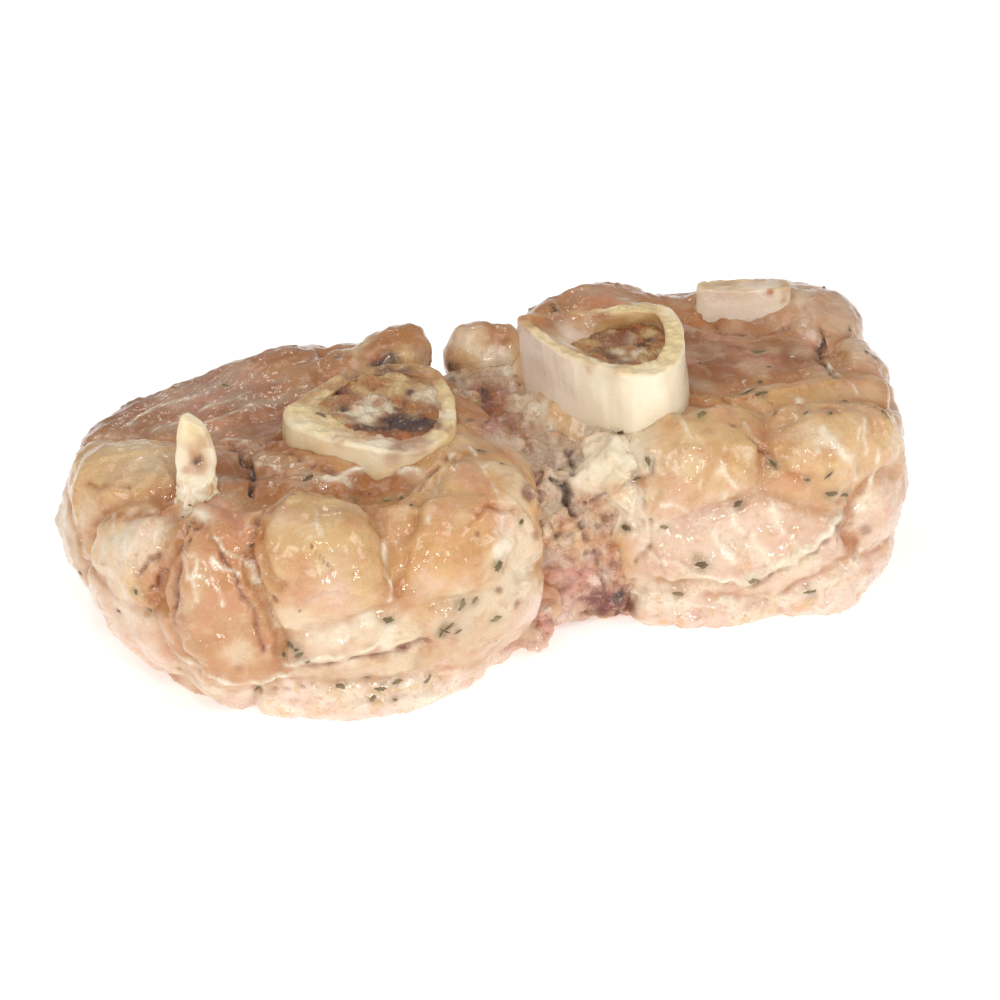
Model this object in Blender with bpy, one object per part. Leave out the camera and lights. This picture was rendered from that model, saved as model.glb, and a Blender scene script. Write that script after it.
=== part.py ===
"""Pork osso buco confit: two cooked slices of pork shank, side by side and stuck together by their set jelly.

Each slice is a bundle of muscles round a sawn marrow bone, with a smaller bone beside it. +Z is up and +X runs
along the pair, from the left slice to the right one. The origin is the middle of the pair, on the surface that
it rests on. Sizes are written in millimetres and scaled to metres once, when a mesh is made.
"""

import math

import bmesh
import bpy
import numpy as np
from mathutils import Matrix, Vector
from mathutils.bvhtree import BVHTree

MM = 0.001
# The middle of the pair's outline, in the layout that the sizes below are written in.
LAYOUT_MIDDLE = np.array([-3.35, -2.62, 0.0])

SLICE_HEIGHT = 42.0
CLEARANCE = 0.3
RING_STEPS = 120
REMESH_SIZE = 1.9
MEAT_TRIANGLES = 4550

# Height share, share of the belly outline against the base outline, and share of the radius, up a slice's wall.
WALL_PROFILE = (
    (0.0, 0.0, 0.5),
    (0.0, 0.0, 0.94),
    (0.012, 0.0, 0.98),
    (0.05, 0.1, 1.0),
    (0.12, 0.3, 1.0),
    (0.3, 0.8, 1.0),
    (0.5, 1.0, 1.0),
    (0.68, 1.0, 0.985),
    (0.82, 1.0, 0.955),
    (0.91, 1.0, 0.915),
    (0.965, 1.0, 0.865),
    (0.99, 1.0, 0.8),
    (1.0, 1.0, 0.7),
    (1.0, 1.0, 0.4),
)

# Left slice: its outline at the belly and on the table, then bumps and dips of its top (x, y, radius, height).
LEFT_CENTRE = (-46.0, -4.0)
LEFT_BELLY = (
    (-93, 5), (-92, -10), (-87, -23), (-74, -36), (-56, -44), (-38, -47), (-20, -45), (-6, -36), (-1.5, -20),
    (-2, 0), (-6, 16), (-13, 30), (-27, 40), (-44, 41), (-62, 39), (-80, 34), (-91, 20),
)
LEFT_BASE = (
    (-85, 6), (-84, -8), (-80, -21), (-71, -33), (-57, -42), (-38, -46), (-21, -41), (-8, -31), (-3, -18),
    (-2, 0), (-6, 15), (-13, 28), (-26, 37), (-44, 38), (-60, 33), (-72, 26), (-80, 17),
)
LEFT_TOP = ((-82, 22, 14, -2.5), (-60, 22, 14, -4), (-30, 28, 12, 0), (-38, -29, 5, -2))

# Right slice, in the same way.
RIGHT_CENTRE = (45.0, -3.0)
RIGHT_BELLY = (
    (2.5, -8), (7, -22), (18, -34), (38, -41), (56, -44), (67, -43), (76, -35), (81, -18), (85, 2),
    (86, 18), (77, 31), (61, 36), (44, 39), (28, 39), (15, 35), (7, 26), (2.5, 8),
)
RIGHT_BASE = (
    (5, -8), (10, -22), (18, -35), (37, -41), (54, -43), (63, -41), (69, -33), (74, -16), (76, 2),
    (76, 16), (69, 26), (58, 32), (44, 36), (28, 36), (17, 32), (9, 23), (5, 8),
)
RIGHT_TOP = ((30, 34, 9, 1), (56, 34, 8, -3), (50, 0, 10, -2), (9, -17, 5, -7))

# Each muscle: its middle, its half sizes, its turn about +Z in degrees, and how far it bulges from the slice.
LEFT_MUSCLES = {
    "back": ((-54, 24, 38), (28, 13, 12), 8, 1.0),
    "far_left": ((-84, 2, 34), (14, 13, 16), 10, 3.0),
    "left": ((-88, -15, 30), (12, 10, 10), 0, 2.5),
    "left_low": ((-88, -12, 12), (12, 14, 12), 0, 1.0),
    "front_drop": ((-74, -35, 25), (10, 10, 19), -5, 4.0),
    "front_ball": ((-55, -38, 36), (13, 12, 13), 0, 4.5),
    "by_small_bone": ((-65, -14, 42), (6, 9, 6), 15, 1.5),
    "strip": ((-52, -16, 42), (12, 5, 6), -25, 1.5),
    "hollow": ((-39, -27, 42), (8, 5, 5), -15, -1.5),
    "front_right": ((-24, -37, 36), (15, 13, 15), -25, 3.0),
    "fat_right": ((-22, -44, 16), (16, 9, 10), 0, 1.5),
    "fat_middle": ((-48, -47, 17), (15, 8, 8), 0, 1.0),
    "fat_base": ((-47, -46, 3), (30, 9, 7), 0, 1.5),
    "behind_bone": ((-22, 27, 43), (14, 9, 8), -20, 1.5),
    "inner_front": ((0, -20, 22), (8, 13, 16), 0, 0.5),
    "inner_back": ((-2, 8, 28), (8, 12, 16), 0, 0.5),
    "rear_middle": ((-44, 43, 18), (18, 8, 14), 0, 2.5),
    "rear_left": ((-75, 33, 16), (16, 9, 14), 30, 2.5),
    "rear_right": ((-14, 33, 18), (12, 10, 14), -30, 2.0),
    "end_left": ((-92, 14, 18), (8, 13, 14), 0, 2.0),
    "under_left": ((-68, -8, 0), (14, 16, 8), 0, 1.0),
    "under_front": ((-38, -30, 0), (18, 12, 8), 0, 1.0),
    "under_back": ((-55, 24, 0), (18, 12, 8), 0, 1.0),
    "under_right": ((-12, 4, 0), (10, 18, 8), 0, 1.0),
}
RIGHT_MUSCLES = {
    "back": ((29, 32, 42), (17, 9, 10), -5, 2.5),
    "back_dip": ((51, 30, 38), (7, 8, 8), 0, 0.5),
    "dark": ((50, -5, 40), (14, 11, 8), 0, 0.5),
    "strip": ((58, -21, 41), (20, 5, 6), -8, 1.5),
    "back_right": ((78, 13, 40), (10, 14, 12), 0, 2.0),
    "shoulder": ((81, -12, 30), (8, 14, 18), 0, 1.5),
    "front": ((26, -32, 38), (17, 10, 13), 0, 3.5),
    "front_right": ((55, -37, 36), (13, 10, 13), 0, 2.5),
    "fat_ball": ((13, -26, 36), (6, 7, 8), 0, 2.0),
    "wall": ((36, -41, 18), (22, 8, 12), 0, 2.5),
    "wedge": ((65, -43, 22), (6, 7, 9), 0, 0.0),
    "low_right": ((60, -42, 5), (15, 7, 7), 0, 2.0),
    "base": ((28, -38, 3), (18, 7, 6), 0, 1.5),
    "inner_low": ((11, -28, 16), (7, 7, 13), 0, 1.5),
    "inner_front": ((4, -8, 24), (8, 12, 14), 0, 0.5),
    "inner_back": ((6, 22, 26), (8, 12, 14), 0, 1.5),
    "rear_middle": ((44, 42, 18), (18, 8, 15), 0, 2.5),
    "rear_right": ((74, 30, 18), (13, 9, 14), -30, 2.5),
    "end_low": ((80, 4, 10), (8, 18, 8), 0, 1.5),
    "under_left": ((22, -10, 0), (12, 18, 8), 0, 1.0),
    "under_right": ((60, -12, 0), (14, 18, 8), 0, 1.0),
    "under_back": ((42, 22, 0), (20, 12, 8), 0, 1.0),
}
PUFF_WIDTH = 6.0
CREASE_DEPTH = 0.9
CREASE_WIDTH = 1.6
SWELL_HEIGHT = 0.5
SWELL_LENGTH = 16.0
FLAT_BELOW = 0.3

# Lumps that stand out of a slice: the knuckle of gristle and meat between the slices, and torn trimmings.
LEFT_LUMPS = (
    ((-7, -34, 3.5), (5, 4, 3), 30),
    ((-5, -31, 8), (5, 4, 5), 0),
    ((-20.5, 19.5, 41.5), (9.5, 6.5, 6.5), 15),
)
RIGHT_LUMPS = (
    ((2.5, 24, 36), (6, 7, 9), 0),
    ((12, -27, 4), (5, 5, 4), 0),
)

# The larger herb flecks stuck to the meat: place, length and turn in degrees. Each is a flat lump of its skin.
LEFT_HERBS = (
    ((-50, -20, 42), 3.0, 20),
    ((-19, -45, 30), 3.0, 30),
    ((-42, -47, 24), 2.6, 20),
    ((-31, -48, 19), 3.2, -20),
    ((-60, -42, 18), 2.8, -30),
    ((-27, -46, 24), 3.4, 70),
    ((-19, -45, 18), 3.0, 20),
    ((-52, -44, 9), 2.6, 0),
    ((-45, -47, 11), 2.4, 20),
    ((-42, -47, 6), 2.8, 30),
    ((-34, -46, 7), 3.0, 40),
    ((-67, -38, 8), 2.6, 20),
)
RIGHT_HERBS = (
    ((16, -30, 34), 3.2, 35),
    ((14, -31, 24), 2.4, 0),
    ((46, -21, 43), 4.4, -5),
    ((42, -40, 38), 3.2, -35),
    ((54, -44, 31), 3.4, 5),
    ((35, -39, 29), 2.6, 60),
    ((28, -40, 16), 3.8, 12),
    ((38, -43, 12), 3.6, 20),
    ((51, -44, 7), 3.6, 15),
    ((24, -37, 8), 3.2, 10),
    ((32, -28, 45), 2.8, 20),
    ((20, 25, 44), 3.0, -50),
)
HERB_WIDTH_SHARE = 0.5
HERB_RISE = 0.45

# Marrow bones: the outline at the sawn top and the cavity in it, both in layout millimetres.
LEFT_BONE_OUTLINE = (
    (-48.5, 1), (-49, -5), (-45, -12), (-39, -18), (-32, -22.5), (-24, -22), (-17.5, -16), (-14, -5),
    (-13, 4), (-14, 9), (-19, 12), (-26, 13.2), (-33, 12.2), (-39, 8.5), (-44, 5),
)
LEFT_BONE_CAVITY = (
    (-41, 0), (-39.5, -7), (-35.5, -13.5), (-27, -18), (-21, -14), (-17.5, -5), (-17, 3), (-20, 7.5),
    (-26.5, 9), (-34, 6.5),
)
LEFT_BONE_TOP = 46.0
LEFT_BONE_LEAN = (-0.03, -0.02)
LEFT_BONE_FOOT = (-3.0, 1.0)

RIGHT_BONE_OUTLINE = (
    (2.8, 4.4), (3.9, -1.4), (5.6, -8.6), (8.4, -14.4), (12.1, -20), (16.6, -25), (22.3, -26.2),
    (28, -23), (32.8, -14.5), (34.8, -5), (32, 0.5), (25.5, 2), (18, 2.5), (11, 4.5), (6, 6),
)
RIGHT_BONE_CAVITY = (
    (12, -4), (14.5, -10), (17.8, -16.7), (22.3, -20.5), (27, -17.5), (30.5, -9), (30.3, -3.5), (24.6, -1.5),
    (17.6, -1.5),
)
RIGHT_BONE_TOP = 56.0
RIGHT_BONE_LEAN = (0.03, 0.02)
RIGHT_BONE_FOOT = (9.0, 4.0)
RIM_ROUNDING = 0.5
BONE_STEPS = 44
MARROW_DEPTH = 2.2
MARROW_LUMPS = 0.6

# The left slice's small bone, a flat sliver cut on the slant, and the right one's, a straight plate.
SLIVER_FOOT = (-73.5, -23.5, 28.0)
SLIVER_TIP = (-70.5, -12.5, 57.0)
SLIVER_WIDTH = 8.4
SLIVER_THICKNESS = 5.6
SLIVER_TURN = -18.0
# Share of the length, then shares of the width and the thickness there.
SLIVER_PROFILE = (
    (0.0, 0.85, 0.9), (0.2, 1.0, 1.0), (0.4, 1.1, 1.05), (0.55, 0.95, 0.95), (0.7, 1.05, 0.9), (0.85, 0.95, 0.75),
    (0.96, 0.7, 0.55), (1.0, 0.45, 0.35),
)
PLATE_CENTRE = (60.5, 16.5)
PLATE_LENGTH = 20.5
PLATE_THICKNESS = 5.2
PLATE_TURN = -19.0
PLATE_TOP = 46.6

# The jelly that set between the slices: its front edge and its top edge, from one end to the other.
JELLY_FRONT = (-31.0, -26.0)
JELLY_BACK = 18.0
JELLY_BOTTOM = 2.0
JELLY_TOP = (34.0, 38.0)
JELLY_GAP = 0.6
JELLY_THINNEST = 1.0
JELLY_STEPS = (15, 12)
JELLY_EDGE = (0.35, 0.8)

COLOURS = {
    "meat": ((0.62, 0.36, 0.21), 0.35),
    "bone": ((0.80, 0.66, 0.43), 0.45),
    "marrow": ((0.42, 0.24, 0.14), 0.5),
    "jelly": ((0.48, 0.35, 0.26), 0.25),
}


def clear_scene():
    for obj in list(bpy.data.objects):
        bpy.data.objects.remove(obj)


def make_material(name):
    colour, roughness = COLOURS[name]
    material = bpy.data.materials.new(name)
    material.use_nodes = True
    shader = material.node_tree.nodes["Principled BSDF"]
    shader.inputs["Base Color"].default_value = (*colour, 1.0)
    shader.inputs["Roughness"].default_value = roughness
    shader.inputs["Metallic"].default_value = 0.0
    return material


def make_object(name, mesh, material=None, helper=False):
    obj = bpy.data.objects.new(name, mesh)
    bpy.context.collection.objects.link(obj)
    if material:
        mesh.materials.clear()
        mesh.materials.append(material)
    mesh.shade_smooth()
    if helper:
        obj.hide_render = True
        obj.display_type = "WIRE"
    return obj


def mesh_from_rings(name, rings):
    """A closed mesh lofted through rings of points in layout millimetres, the first and the last one capped."""
    bm = bmesh.new()
    loops = []
    for ring in rings:
        loops.append([bm.verts.new((np.array(point) - LAYOUT_MIDDLE) * MM) for point in ring])
    for lower, upper in zip(loops, loops[1:]):
        for i in range(len(lower)):
            j = (i + 1) % len(lower)
            bm.faces.new((lower[i], lower[j], upper[j], upper[i]))
    bm.faces.new(reversed(loops[0]))
    bm.faces.new(loops[-1])
    bmesh.ops.recalc_face_normals(bm, faces=bm.faces)
    mesh = bpy.data.meshes.new(name)
    bm.to_mesh(mesh)
    bm.free()
    return mesh


def smooth_loop(points, steps):
    """A closed curve through the points, with the same number of steps from each to the next."""
    corners = np.array(points, float)
    curve = []
    for i in range(len(corners)):
        before, start, end, after = (corners[(i + k) % len(corners)] for k in (-1, 0, 1, 2))
        for t in np.linspace(0, 1, steps, endpoint=False):
            curve.append(
                0.5 * (2 * start + (end - before) * t
                       + (2 * before - 5 * start + 4 * end - after) * t ** 2
                       + (3 * start - before - 3 * end + after) * t ** 3)
            )
    return np.array(curve)


def radii_about(centre, points, count):
    """The outline's distance from its centre at equal angles."""
    offsets = smooth_loop(points, 24) - np.array(centre)
    angles = np.arctan2(offsets[:, 1], offsets[:, 0])
    order = np.argsort(angles)
    distances = np.hypot(offsets[:, 0], offsets[:, 1])
    wanted = np.linspace(-math.pi, math.pi, count, endpoint=False)
    return wanted, np.interp(wanted, angles[order], distances[order], period=2 * math.pi)


def top_height(x, y, bumps):
    height = SLICE_HEIGHT
    for bump_x, bump_y, radius, rise in bumps:
        height += rise * math.exp(-((x - bump_x) ** 2 + (y - bump_y) ** 2) / (2 * radius ** 2))
    return height


def slice_block(name, centre, belly, base, bumps):
    """The plain round block that a slice is before its muscles bulge."""
    angles, belly_radii = radii_about(centre, belly, RING_STEPS)
    base_radii = radii_about(centre, base, RING_STEPS)[1]
    rings = []
    for height_share, belly_share, radius_share in WALL_PROFILE:
        ring = []
        for angle, wide, narrow in zip(angles, belly_radii, base_radii):
            radius = radius_share * (narrow + (wide - narrow) * belly_share)
            x = centre[0] + radius * math.cos(angle)
            y = centre[1] + radius * math.sin(angle)
            ring.append((x, y, height_share * top_height(x, y, bumps)))
        rings.append(ring)
    return mesh_from_rings(name, rings)


def add_lump(bm, middle, half_sizes, turn):
    place = Matrix.Translation(Vector(np.array(middle) - LAYOUT_MIDDLE) * MM)
    shape = Matrix.Rotation(math.radians(turn), 4, "Z") @ Matrix.Diagonal((*(Vector(half_sizes) * MM), 1.0))
    bmesh.ops.create_icosphere(bm, subdivisions=3, radius=1.0, matrix=place @ shape)


def evaluated_mesh(obj, name):
    bpy.context.view_layer.update()
    graph = bpy.context.evaluated_depsgraph_get()
    return bpy.data.meshes.new_from_object(obj.evaluated_get(graph), depsgraph=graph)


def fused_with_lumps(name, block, lumps):
    """The block and its lumps as one even skin."""
    bm = bmesh.new()
    bm.from_mesh(block)
    for middle, half_sizes, turn in lumps:
        add_lump(bm, middle, half_sizes, turn)
    bm.to_mesh(block)
    bm.free()
    rough = make_object(name + "_rough", block, helper=True)
    remesh = rough.modifiers.new("fuse", "REMESH")
    remesh.mode = "VOXEL"
    remesh.voxel_size = REMESH_SIZE * MM
    soften = rough.modifiers.new("soften", "SMOOTH")
    soften.factor = 0.5
    soften.iterations = 3
    mesh = evaluated_mesh(rough, name)
    bpy.data.objects.remove(rough)
    return mesh


def muscle_seams(points, muscles):
    """For each point, the index of its muscle and its distance in mm to the seam with the next muscle."""
    reach, slope = [], []
    for middle, half_sizes, turn, _ in muscles.values():
        c, s = math.cos(math.radians(turn)), math.sin(math.radians(turn))
        to_muscle = np.array([[c, s, 0], [-s, c, 0], [0, 0, 1]]) / np.array(half_sizes)[:, None]
        local = (points - np.array(middle)) @ to_muscle.T
        distance = np.maximum(np.linalg.norm(local, axis=1), 1e-6)
        reach.append(distance)
        slope.append((local / distance[:, None]) @ to_muscle)
    reach, slope = np.array(reach), np.array(slope)
    order = np.argsort(reach, axis=0)
    rows = np.arange(len(points))
    own, other = order[0], order[1]
    steepness = np.linalg.norm(slope[other, rows] - slope[own, rows], axis=1)
    return own, (reach[other, rows] - reach[own, rows]) / np.maximum(steepness, 1e-6)


def swell(points, length, seed, waves=20):
    """Smooth noise between about -1 and 1, from waves in random directions."""
    draw = np.random.default_rng(seed)
    directions = draw.normal(size=(waves, 3))
    directions /= np.linalg.norm(directions, axis=1)[:, None]
    phases = draw.uniform(0, 2 * math.pi, waves)
    return np.sin(points @ directions.T * (2 * math.pi / length) + phases).sum(axis=1) / math.sqrt(waves)


def bulge(mesh, muscles, seed):
    """Moves the skin out over each muscle and in along the seams."""
    count = len(mesh.vertices)
    points, normals = np.empty(count * 3), np.empty(count * 3)
    mesh.vertices.foreach_get("co", points)
    mesh.vertex_normals.foreach_get("vector", normals)
    points = points.reshape(-1, 3) / MM + LAYOUT_MIDDLE
    normals = normals.reshape(-1, 3)
    own, seam = muscle_seams(points, muscles)
    rises = np.array([muscle[3] for muscle in muscles.values()])[own]
    moved = rises * (1 - np.exp(-seam / PUFF_WIDTH)) - CREASE_DEPTH * np.exp(-(seam / CREASE_WIDTH) ** 2)
    moved += SWELL_HEIGHT * swell(points, SWELL_LENGTH, seed)
    points += normals * moved[:, None]
    mesh.vertices.foreach_set("co", ((points - LAYOUT_MIDDLE) * MM).ravel())
    rest_flat(mesh)


def rest_flat(mesh):
    for vertex in mesh.vertices:
        if vertex.co.z < FLAT_BELOW * MM:
            vertex.co.z = 0.0
    mesh.update()


def triangle_count(mesh):
    return sum(len(face.vertices) - 2 for face in mesh.polygons)


def herb_flecks(name, mesh, flecks):
    """The flecks as flat lumps, each half sunk in the meat's skin."""
    corners = [vertex.co for vertex in mesh.vertices]
    skin = BVHTree.FromPolygons(corners, [tuple(face.vertices) for face in mesh.polygons])
    bm = bmesh.new()
    for place, length, turn in flecks:
        on, normal, _, _ = skin.find_nearest((np.array(place) - LAYOUT_MIDDLE) * MM)
        lean = normal.to_track_quat("Z", "X").to_matrix().to_4x4()
        spin = Matrix.Rotation(math.radians(turn), 4, "Z")
        form = Matrix.Diagonal((length / 2 * MM, length / 2 * HERB_WIDTH_SHARE * MM, HERB_RISE * MM, 1.0))
        place_on = Matrix.Translation(on) @ lean @ spin @ form
        bmesh.ops.create_icosphere(bm, subdivisions=1, radius=1.0, matrix=place_on)
    lumps = bpy.data.meshes.new(name + "_herbs")
    bm.to_mesh(lumps)
    bm.free()
    return make_object(name + "_herbs", lumps, helper=True)


def make_meat(name, centre, belly, base, bumps, lumps, herbs, muscles, seed, cutters, material):
    block = slice_block(name, centre, belly, base, bumps)
    fine = make_object(name + "_fine", fused_with_lumps(name, block, lumps), helper=True)
    bulge(fine.data, muscles, seed)
    thin = fine.modifiers.new("fewer_faces", "DECIMATE")
    thin.ratio = MEAT_TRIANGLES / triangle_count(fine.data)
    mesh = evaluated_mesh(fine, name)
    bpy.data.objects.remove(fine)
    rest_flat(mesh)
    meat = make_object(name, mesh, material)
    flecks = meat.modifiers.new("herb_flecks", "BOOLEAN")
    flecks.operation = "UNION"
    flecks.object = herb_flecks(name, mesh, herbs)
    for cutter in cutters:
        hole = meat.modifiers.new(cutter.name, "BOOLEAN")
        hole.operation = "DIFFERENCE"
        hole.object = cutter
    return meat


def grown(outline, centre, by):
    """The outline moved out by a distance, along the lines from its centre."""
    offsets = outline - centre
    lengths = np.linalg.norm(offsets, axis=1)[:, None]
    return centre + offsets * (lengths + by) / lengths


def make_marrow_bone(name, outline, cavity, top, lean, foot, materials):
    """The sawn tube of bone, the marrow in it, and the cutter for the hole that it stands in."""
    centre = np.array(cavity, float).mean(axis=0)
    outer = resampled(outline, centre)
    inner = resampled(cavity, centre)

    def slanted(edge, heights):
        """The edge at these heights, moved over by the bone's slant."""
        return np.column_stack([edge + np.outer(1 - heights / top, foot), heights])

    def level(edge, height):
        return slanted(edge, np.full(len(edge), height))

    def sawn(edge, depth):
        """The edge at a depth under the sawn face, which isn't quite level."""
        return slanted(edge, top - depth + (edge - centre) @ np.array(lean))

    def shaft(edge):
        return [level(edge, 0.0), level(edge, top * 0.4), level(edge, top * 0.75)]

    rings = shaft(outer) + [sawn(outer, RIM_ROUNDING), sawn(grown(outer, centre, -RIM_ROUNDING), 0.0)]
    rings += [sawn(grown(inner, centre, RIM_ROUNDING), 0.0), sawn(inner, RIM_ROUNDING)] + shaft(inner)[::-1]
    bone = make_object(name + "_marrow_bone", tube_mesh(name, rings), materials["bone"])

    plug = grown(inner, centre, -CLEARANCE)
    plug_rings = [level(plug, CLEARANCE)] + shaft(plug)[1:] + [sawn(plug, MARROW_DEPTH)]
    for share in (0.8, 0.6, 0.4, 0.2):
        ring = sawn(centre + (plug - centre) * share, MARROW_DEPTH)
        ring[:, 2] += MARROW_LUMPS * swell(ring, 7.0, len(plug_rings))
        plug_rings.append(ring)
    marrow = make_object(name + "_marrow", mesh_from_rings(name + "_marrow", plug_rings), materials["marrow"])

    hole = grown(outer, centre, CLEARANCE)
    hole_rings = [level(hole, -6.0)] + shaft(hole)[1:] + [sawn(hole, 0.0), sawn(hole, -12.0)]
    cutter = make_object(name + "_bone_hole", mesh_from_rings(name + "_hole", hole_rings), helper=True)
    return bone, marrow, cutter


def resampled(points, centre):
    """The outline at equal angles, so that inner and outer rings line up."""
    angles, distances = radii_about(centre, points, BONE_STEPS)
    return centre + np.stack([np.cos(angles), np.sin(angles)], axis=1) * distances[:, None]


def tube_mesh(name, rings):
    """A closed ring-shaped mesh: the last ring joins the first one."""
    bm = bmesh.new()
    loops = [[bm.verts.new((np.array(point) - LAYOUT_MIDDLE) * MM) for point in ring] for ring in rings]
    for lower, upper in zip(loops, loops[1:] + loops[:1]):
        for i in range(len(lower)):
            j = (i + 1) % len(lower)
            bm.faces.new((lower[i], lower[j], upper[j], upper[i]))
    bmesh.ops.recalc_face_normals(bm, faces=bm.faces)
    mesh = bpy.data.meshes.new(name)
    bm.to_mesh(mesh)
    bm.free()
    return mesh


def sliver_rings(grow, start_shift):
    """Rings up the sliver: oval, widest at a third of its height, and cut on the slant towards the front."""
    foot, tip = np.array(SLIVER_FOOT), np.array(SLIVER_TIP)
    turn = math.radians(SLIVER_TURN)
    across = np.array([math.cos(turn), math.sin(turn), 0.0])
    through = np.array([-math.sin(turn), math.cos(turn), 0.35])
    rings = []
    for share, wide, thick in SLIVER_PROFILE:
        middle = foot + (tip - foot) * share + np.array([0, 0, start_shift if share == 0.0 else 0.0])
        ring = []
        for angle in np.linspace(0, 2 * math.pi, 16, endpoint=False):
            side = math.cos(angle) * (SLIVER_WIDTH / 2 * wide + grow)
            face = math.sin(angle) * (SLIVER_THICKNESS / 2 * thick + grow)
            ring.append(middle + across * side + through * face)
        rings.append(ring)
    return rings


def plate_rings(grow, bottom, top):
    """Rings up the plate: a rounded oblong, a little narrower at its sawn top."""
    turn = math.radians(PLATE_TURN)
    along = np.array([math.cos(turn), math.sin(turn)])
    across = np.array([-math.sin(turn), math.cos(turn)])
    rings = []
    for height, share in ((bottom, 1.0), (bottom + 0.5 * (top - bottom), 1.0), (top - 0.4, 1.0), (top, 0.96)):
        ring = []
        for angle in np.linspace(0, 2 * math.pi, 28, endpoint=False):
            c, s = math.cos(angle), math.sin(angle)
            side = math.copysign(abs(c) ** 0.4, c) * (PLATE_LENGTH / 2 * share + grow)
            face = math.copysign(abs(s) ** 0.5, s) * (PLATE_THICKNESS / 2 * share + grow)
            x, y = np.array(PLATE_CENTRE) + along * side + across * face
            ring.append((x, y, height))
        rings.append(ring)
    return rings


def make_small_bones(material):
    """Both small bones, and the cutters for the places that they stand in."""
    sliver = make_object("left_small_bone", mesh_from_rings("sliver", sliver_rings(0.0, 0.0)), material)
    sliver_hole = mesh_from_rings("sliver_hole", sliver_rings(CLEARANCE, -2 * CLEARANCE))
    plate = make_object("right_small_bone", mesh_from_rings("plate", plate_rings(0.0, 0.0, PLATE_TOP)), material)
    plate_hole = mesh_from_rings("plate_hole", plate_rings(CLEARANCE, -5.0, PLATE_TOP + 8.0))
    return (
        sliver,
        plate,
        make_object("left_small_bone_hole", sliver_hole, helper=True),
        make_object("right_small_bone_hole", plate_hole, helper=True),
    )


def wall_at(tree, y, z, direction):
    """Where a slice's wall is, from the gap between the slices, along +X or -X. The nearest of a few rays counts."""
    reach = []
    for shift_y, shift_z in [(a, b) for a in (-1.6, 0.0, 1.6) for b in (-1.6, 0.0, 1.6)]:
        start = Vector(np.array([-100.0 * direction, y + shift_y, z + shift_z]) - LAYOUT_MIDDLE) * MM
        hits = []
        origin = start
        while True:
            place = tree.ray_cast(origin, Vector((direction, 0, 0)))[0]
            if place is None:
                break
            hits.append(place.x / MM + LAYOUT_MIDDLE[0])
            origin = place + Vector((direction * 1e-5, 0, 0))
        if hits:
            reach.append(hits[-1])
    return reach


def edge_share(step, steps):
    """How full the jelly is near its edge: it thins out over the last two steps."""
    from_edge = min(step, steps - 1 - step)
    return JELLY_EDGE[from_edge] if from_edge < len(JELLY_EDGE) else 1.0


def make_jelly(left_meat, right_meat, material):
    """A web of jelly that fills the gap between the two walls, from two sheets of points that follow them."""
    graph = bpy.context.evaluated_depsgraph_get()
    left_tree = BVHTree.FromObject(left_meat, graph)
    right_tree = BVHTree.FromObject(right_meat, graph)
    rows, columns = JELLY_STEPS
    left_sheet, right_sheet = [], []
    for i in range(rows):
        for j in range(columns):
            back_share, top_share = i / (rows - 1), j / (columns - 1)
            front = JELLY_FRONT[0] + (JELLY_FRONT[1] - JELLY_FRONT[0]) * top_share ** 2
            y = front + (JELLY_BACK - front) * back_share
            top = JELLY_TOP[0] + (JELLY_TOP[1] - JELLY_TOP[0]) * back_share
            z = JELLY_BOTTOM + (top - JELLY_BOTTOM) * top_share
            low = max(wall_at(left_tree, y, z, 1.0)) + JELLY_GAP
            high = min(wall_at(right_tree, y, z, -1.0)) - JELLY_GAP
            half = (high - low) / 2 * min(edge_share(i, rows), edge_share(j, columns))
            half = max(half, JELLY_THINNEST / 2)
            left_sheet.append(((low + high) / 2 - half, y, z))
            right_sheet.append(((low + high) / 2 + half, y, z))
    bm = bmesh.new()
    left, right = (
        [bm.verts.new((np.array(point) - LAYOUT_MIDDLE) * MM) for point in sheet]
        for sheet in (left_sheet, right_sheet)
    )
    for i in range(rows - 1):
        for j in range(columns - 1):
            corners = (i * columns + j, i * columns + j + 1, (i + 1) * columns + j + 1, (i + 1) * columns + j)
            bm.faces.new([left[k] for k in corners])
            bm.faces.new([right[k] for k in reversed(corners)])
    border = (
        list(range(columns))
        + [i * columns + columns - 1 for i in range(1, rows)]
        + [(rows - 1) * columns + j for j in range(columns - 2, -1, -1)]
        + [i * columns for i in range(rows - 2, 0, -1)]
    )
    for a, b in zip(border, border[1:] + border[:1]):
        bm.faces.new((left[a], left[b], right[b], right[a]))
    bmesh.ops.recalc_face_normals(bm, faces=bm.faces)
    mesh = bpy.data.meshes.new("jelly")
    bm.to_mesh(mesh)
    bm.free()
    return make_object("jelly", mesh, material)


def main():
    clear_scene()
    materials = {name: make_material(name) for name in COLOURS}
    left_hole = make_marrow_bone(
        "left", LEFT_BONE_OUTLINE, LEFT_BONE_CAVITY, LEFT_BONE_TOP, LEFT_BONE_LEAN, LEFT_BONE_FOOT, materials
    )[2]
    right_hole = make_marrow_bone(
        "right", RIGHT_BONE_OUTLINE, RIGHT_BONE_CAVITY, RIGHT_BONE_TOP, RIGHT_BONE_LEAN, RIGHT_BONE_FOOT,
        materials,
    )[2]
    sliver_hole, plate_hole = make_small_bones(materials["bone"])[2:]
    left_meat = make_meat(
        "left_meat", LEFT_CENTRE, LEFT_BELLY, LEFT_BASE, LEFT_TOP, LEFT_LUMPS, LEFT_HERBS, LEFT_MUSCLES, 11,
        (left_hole, sliver_hole), materials["meat"],
    )
    right_meat = make_meat(
        "right_meat", RIGHT_CENTRE, RIGHT_BELLY, RIGHT_BASE, RIGHT_TOP, RIGHT_LUMPS, RIGHT_HERBS, RIGHT_MUSCLES, 12,
        (right_hole, plate_hole), materials["meat"],
    )
    bpy.context.view_layer.update()
    make_jelly(left_meat, right_meat, materials["jelly"])


main()
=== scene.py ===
import math

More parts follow.
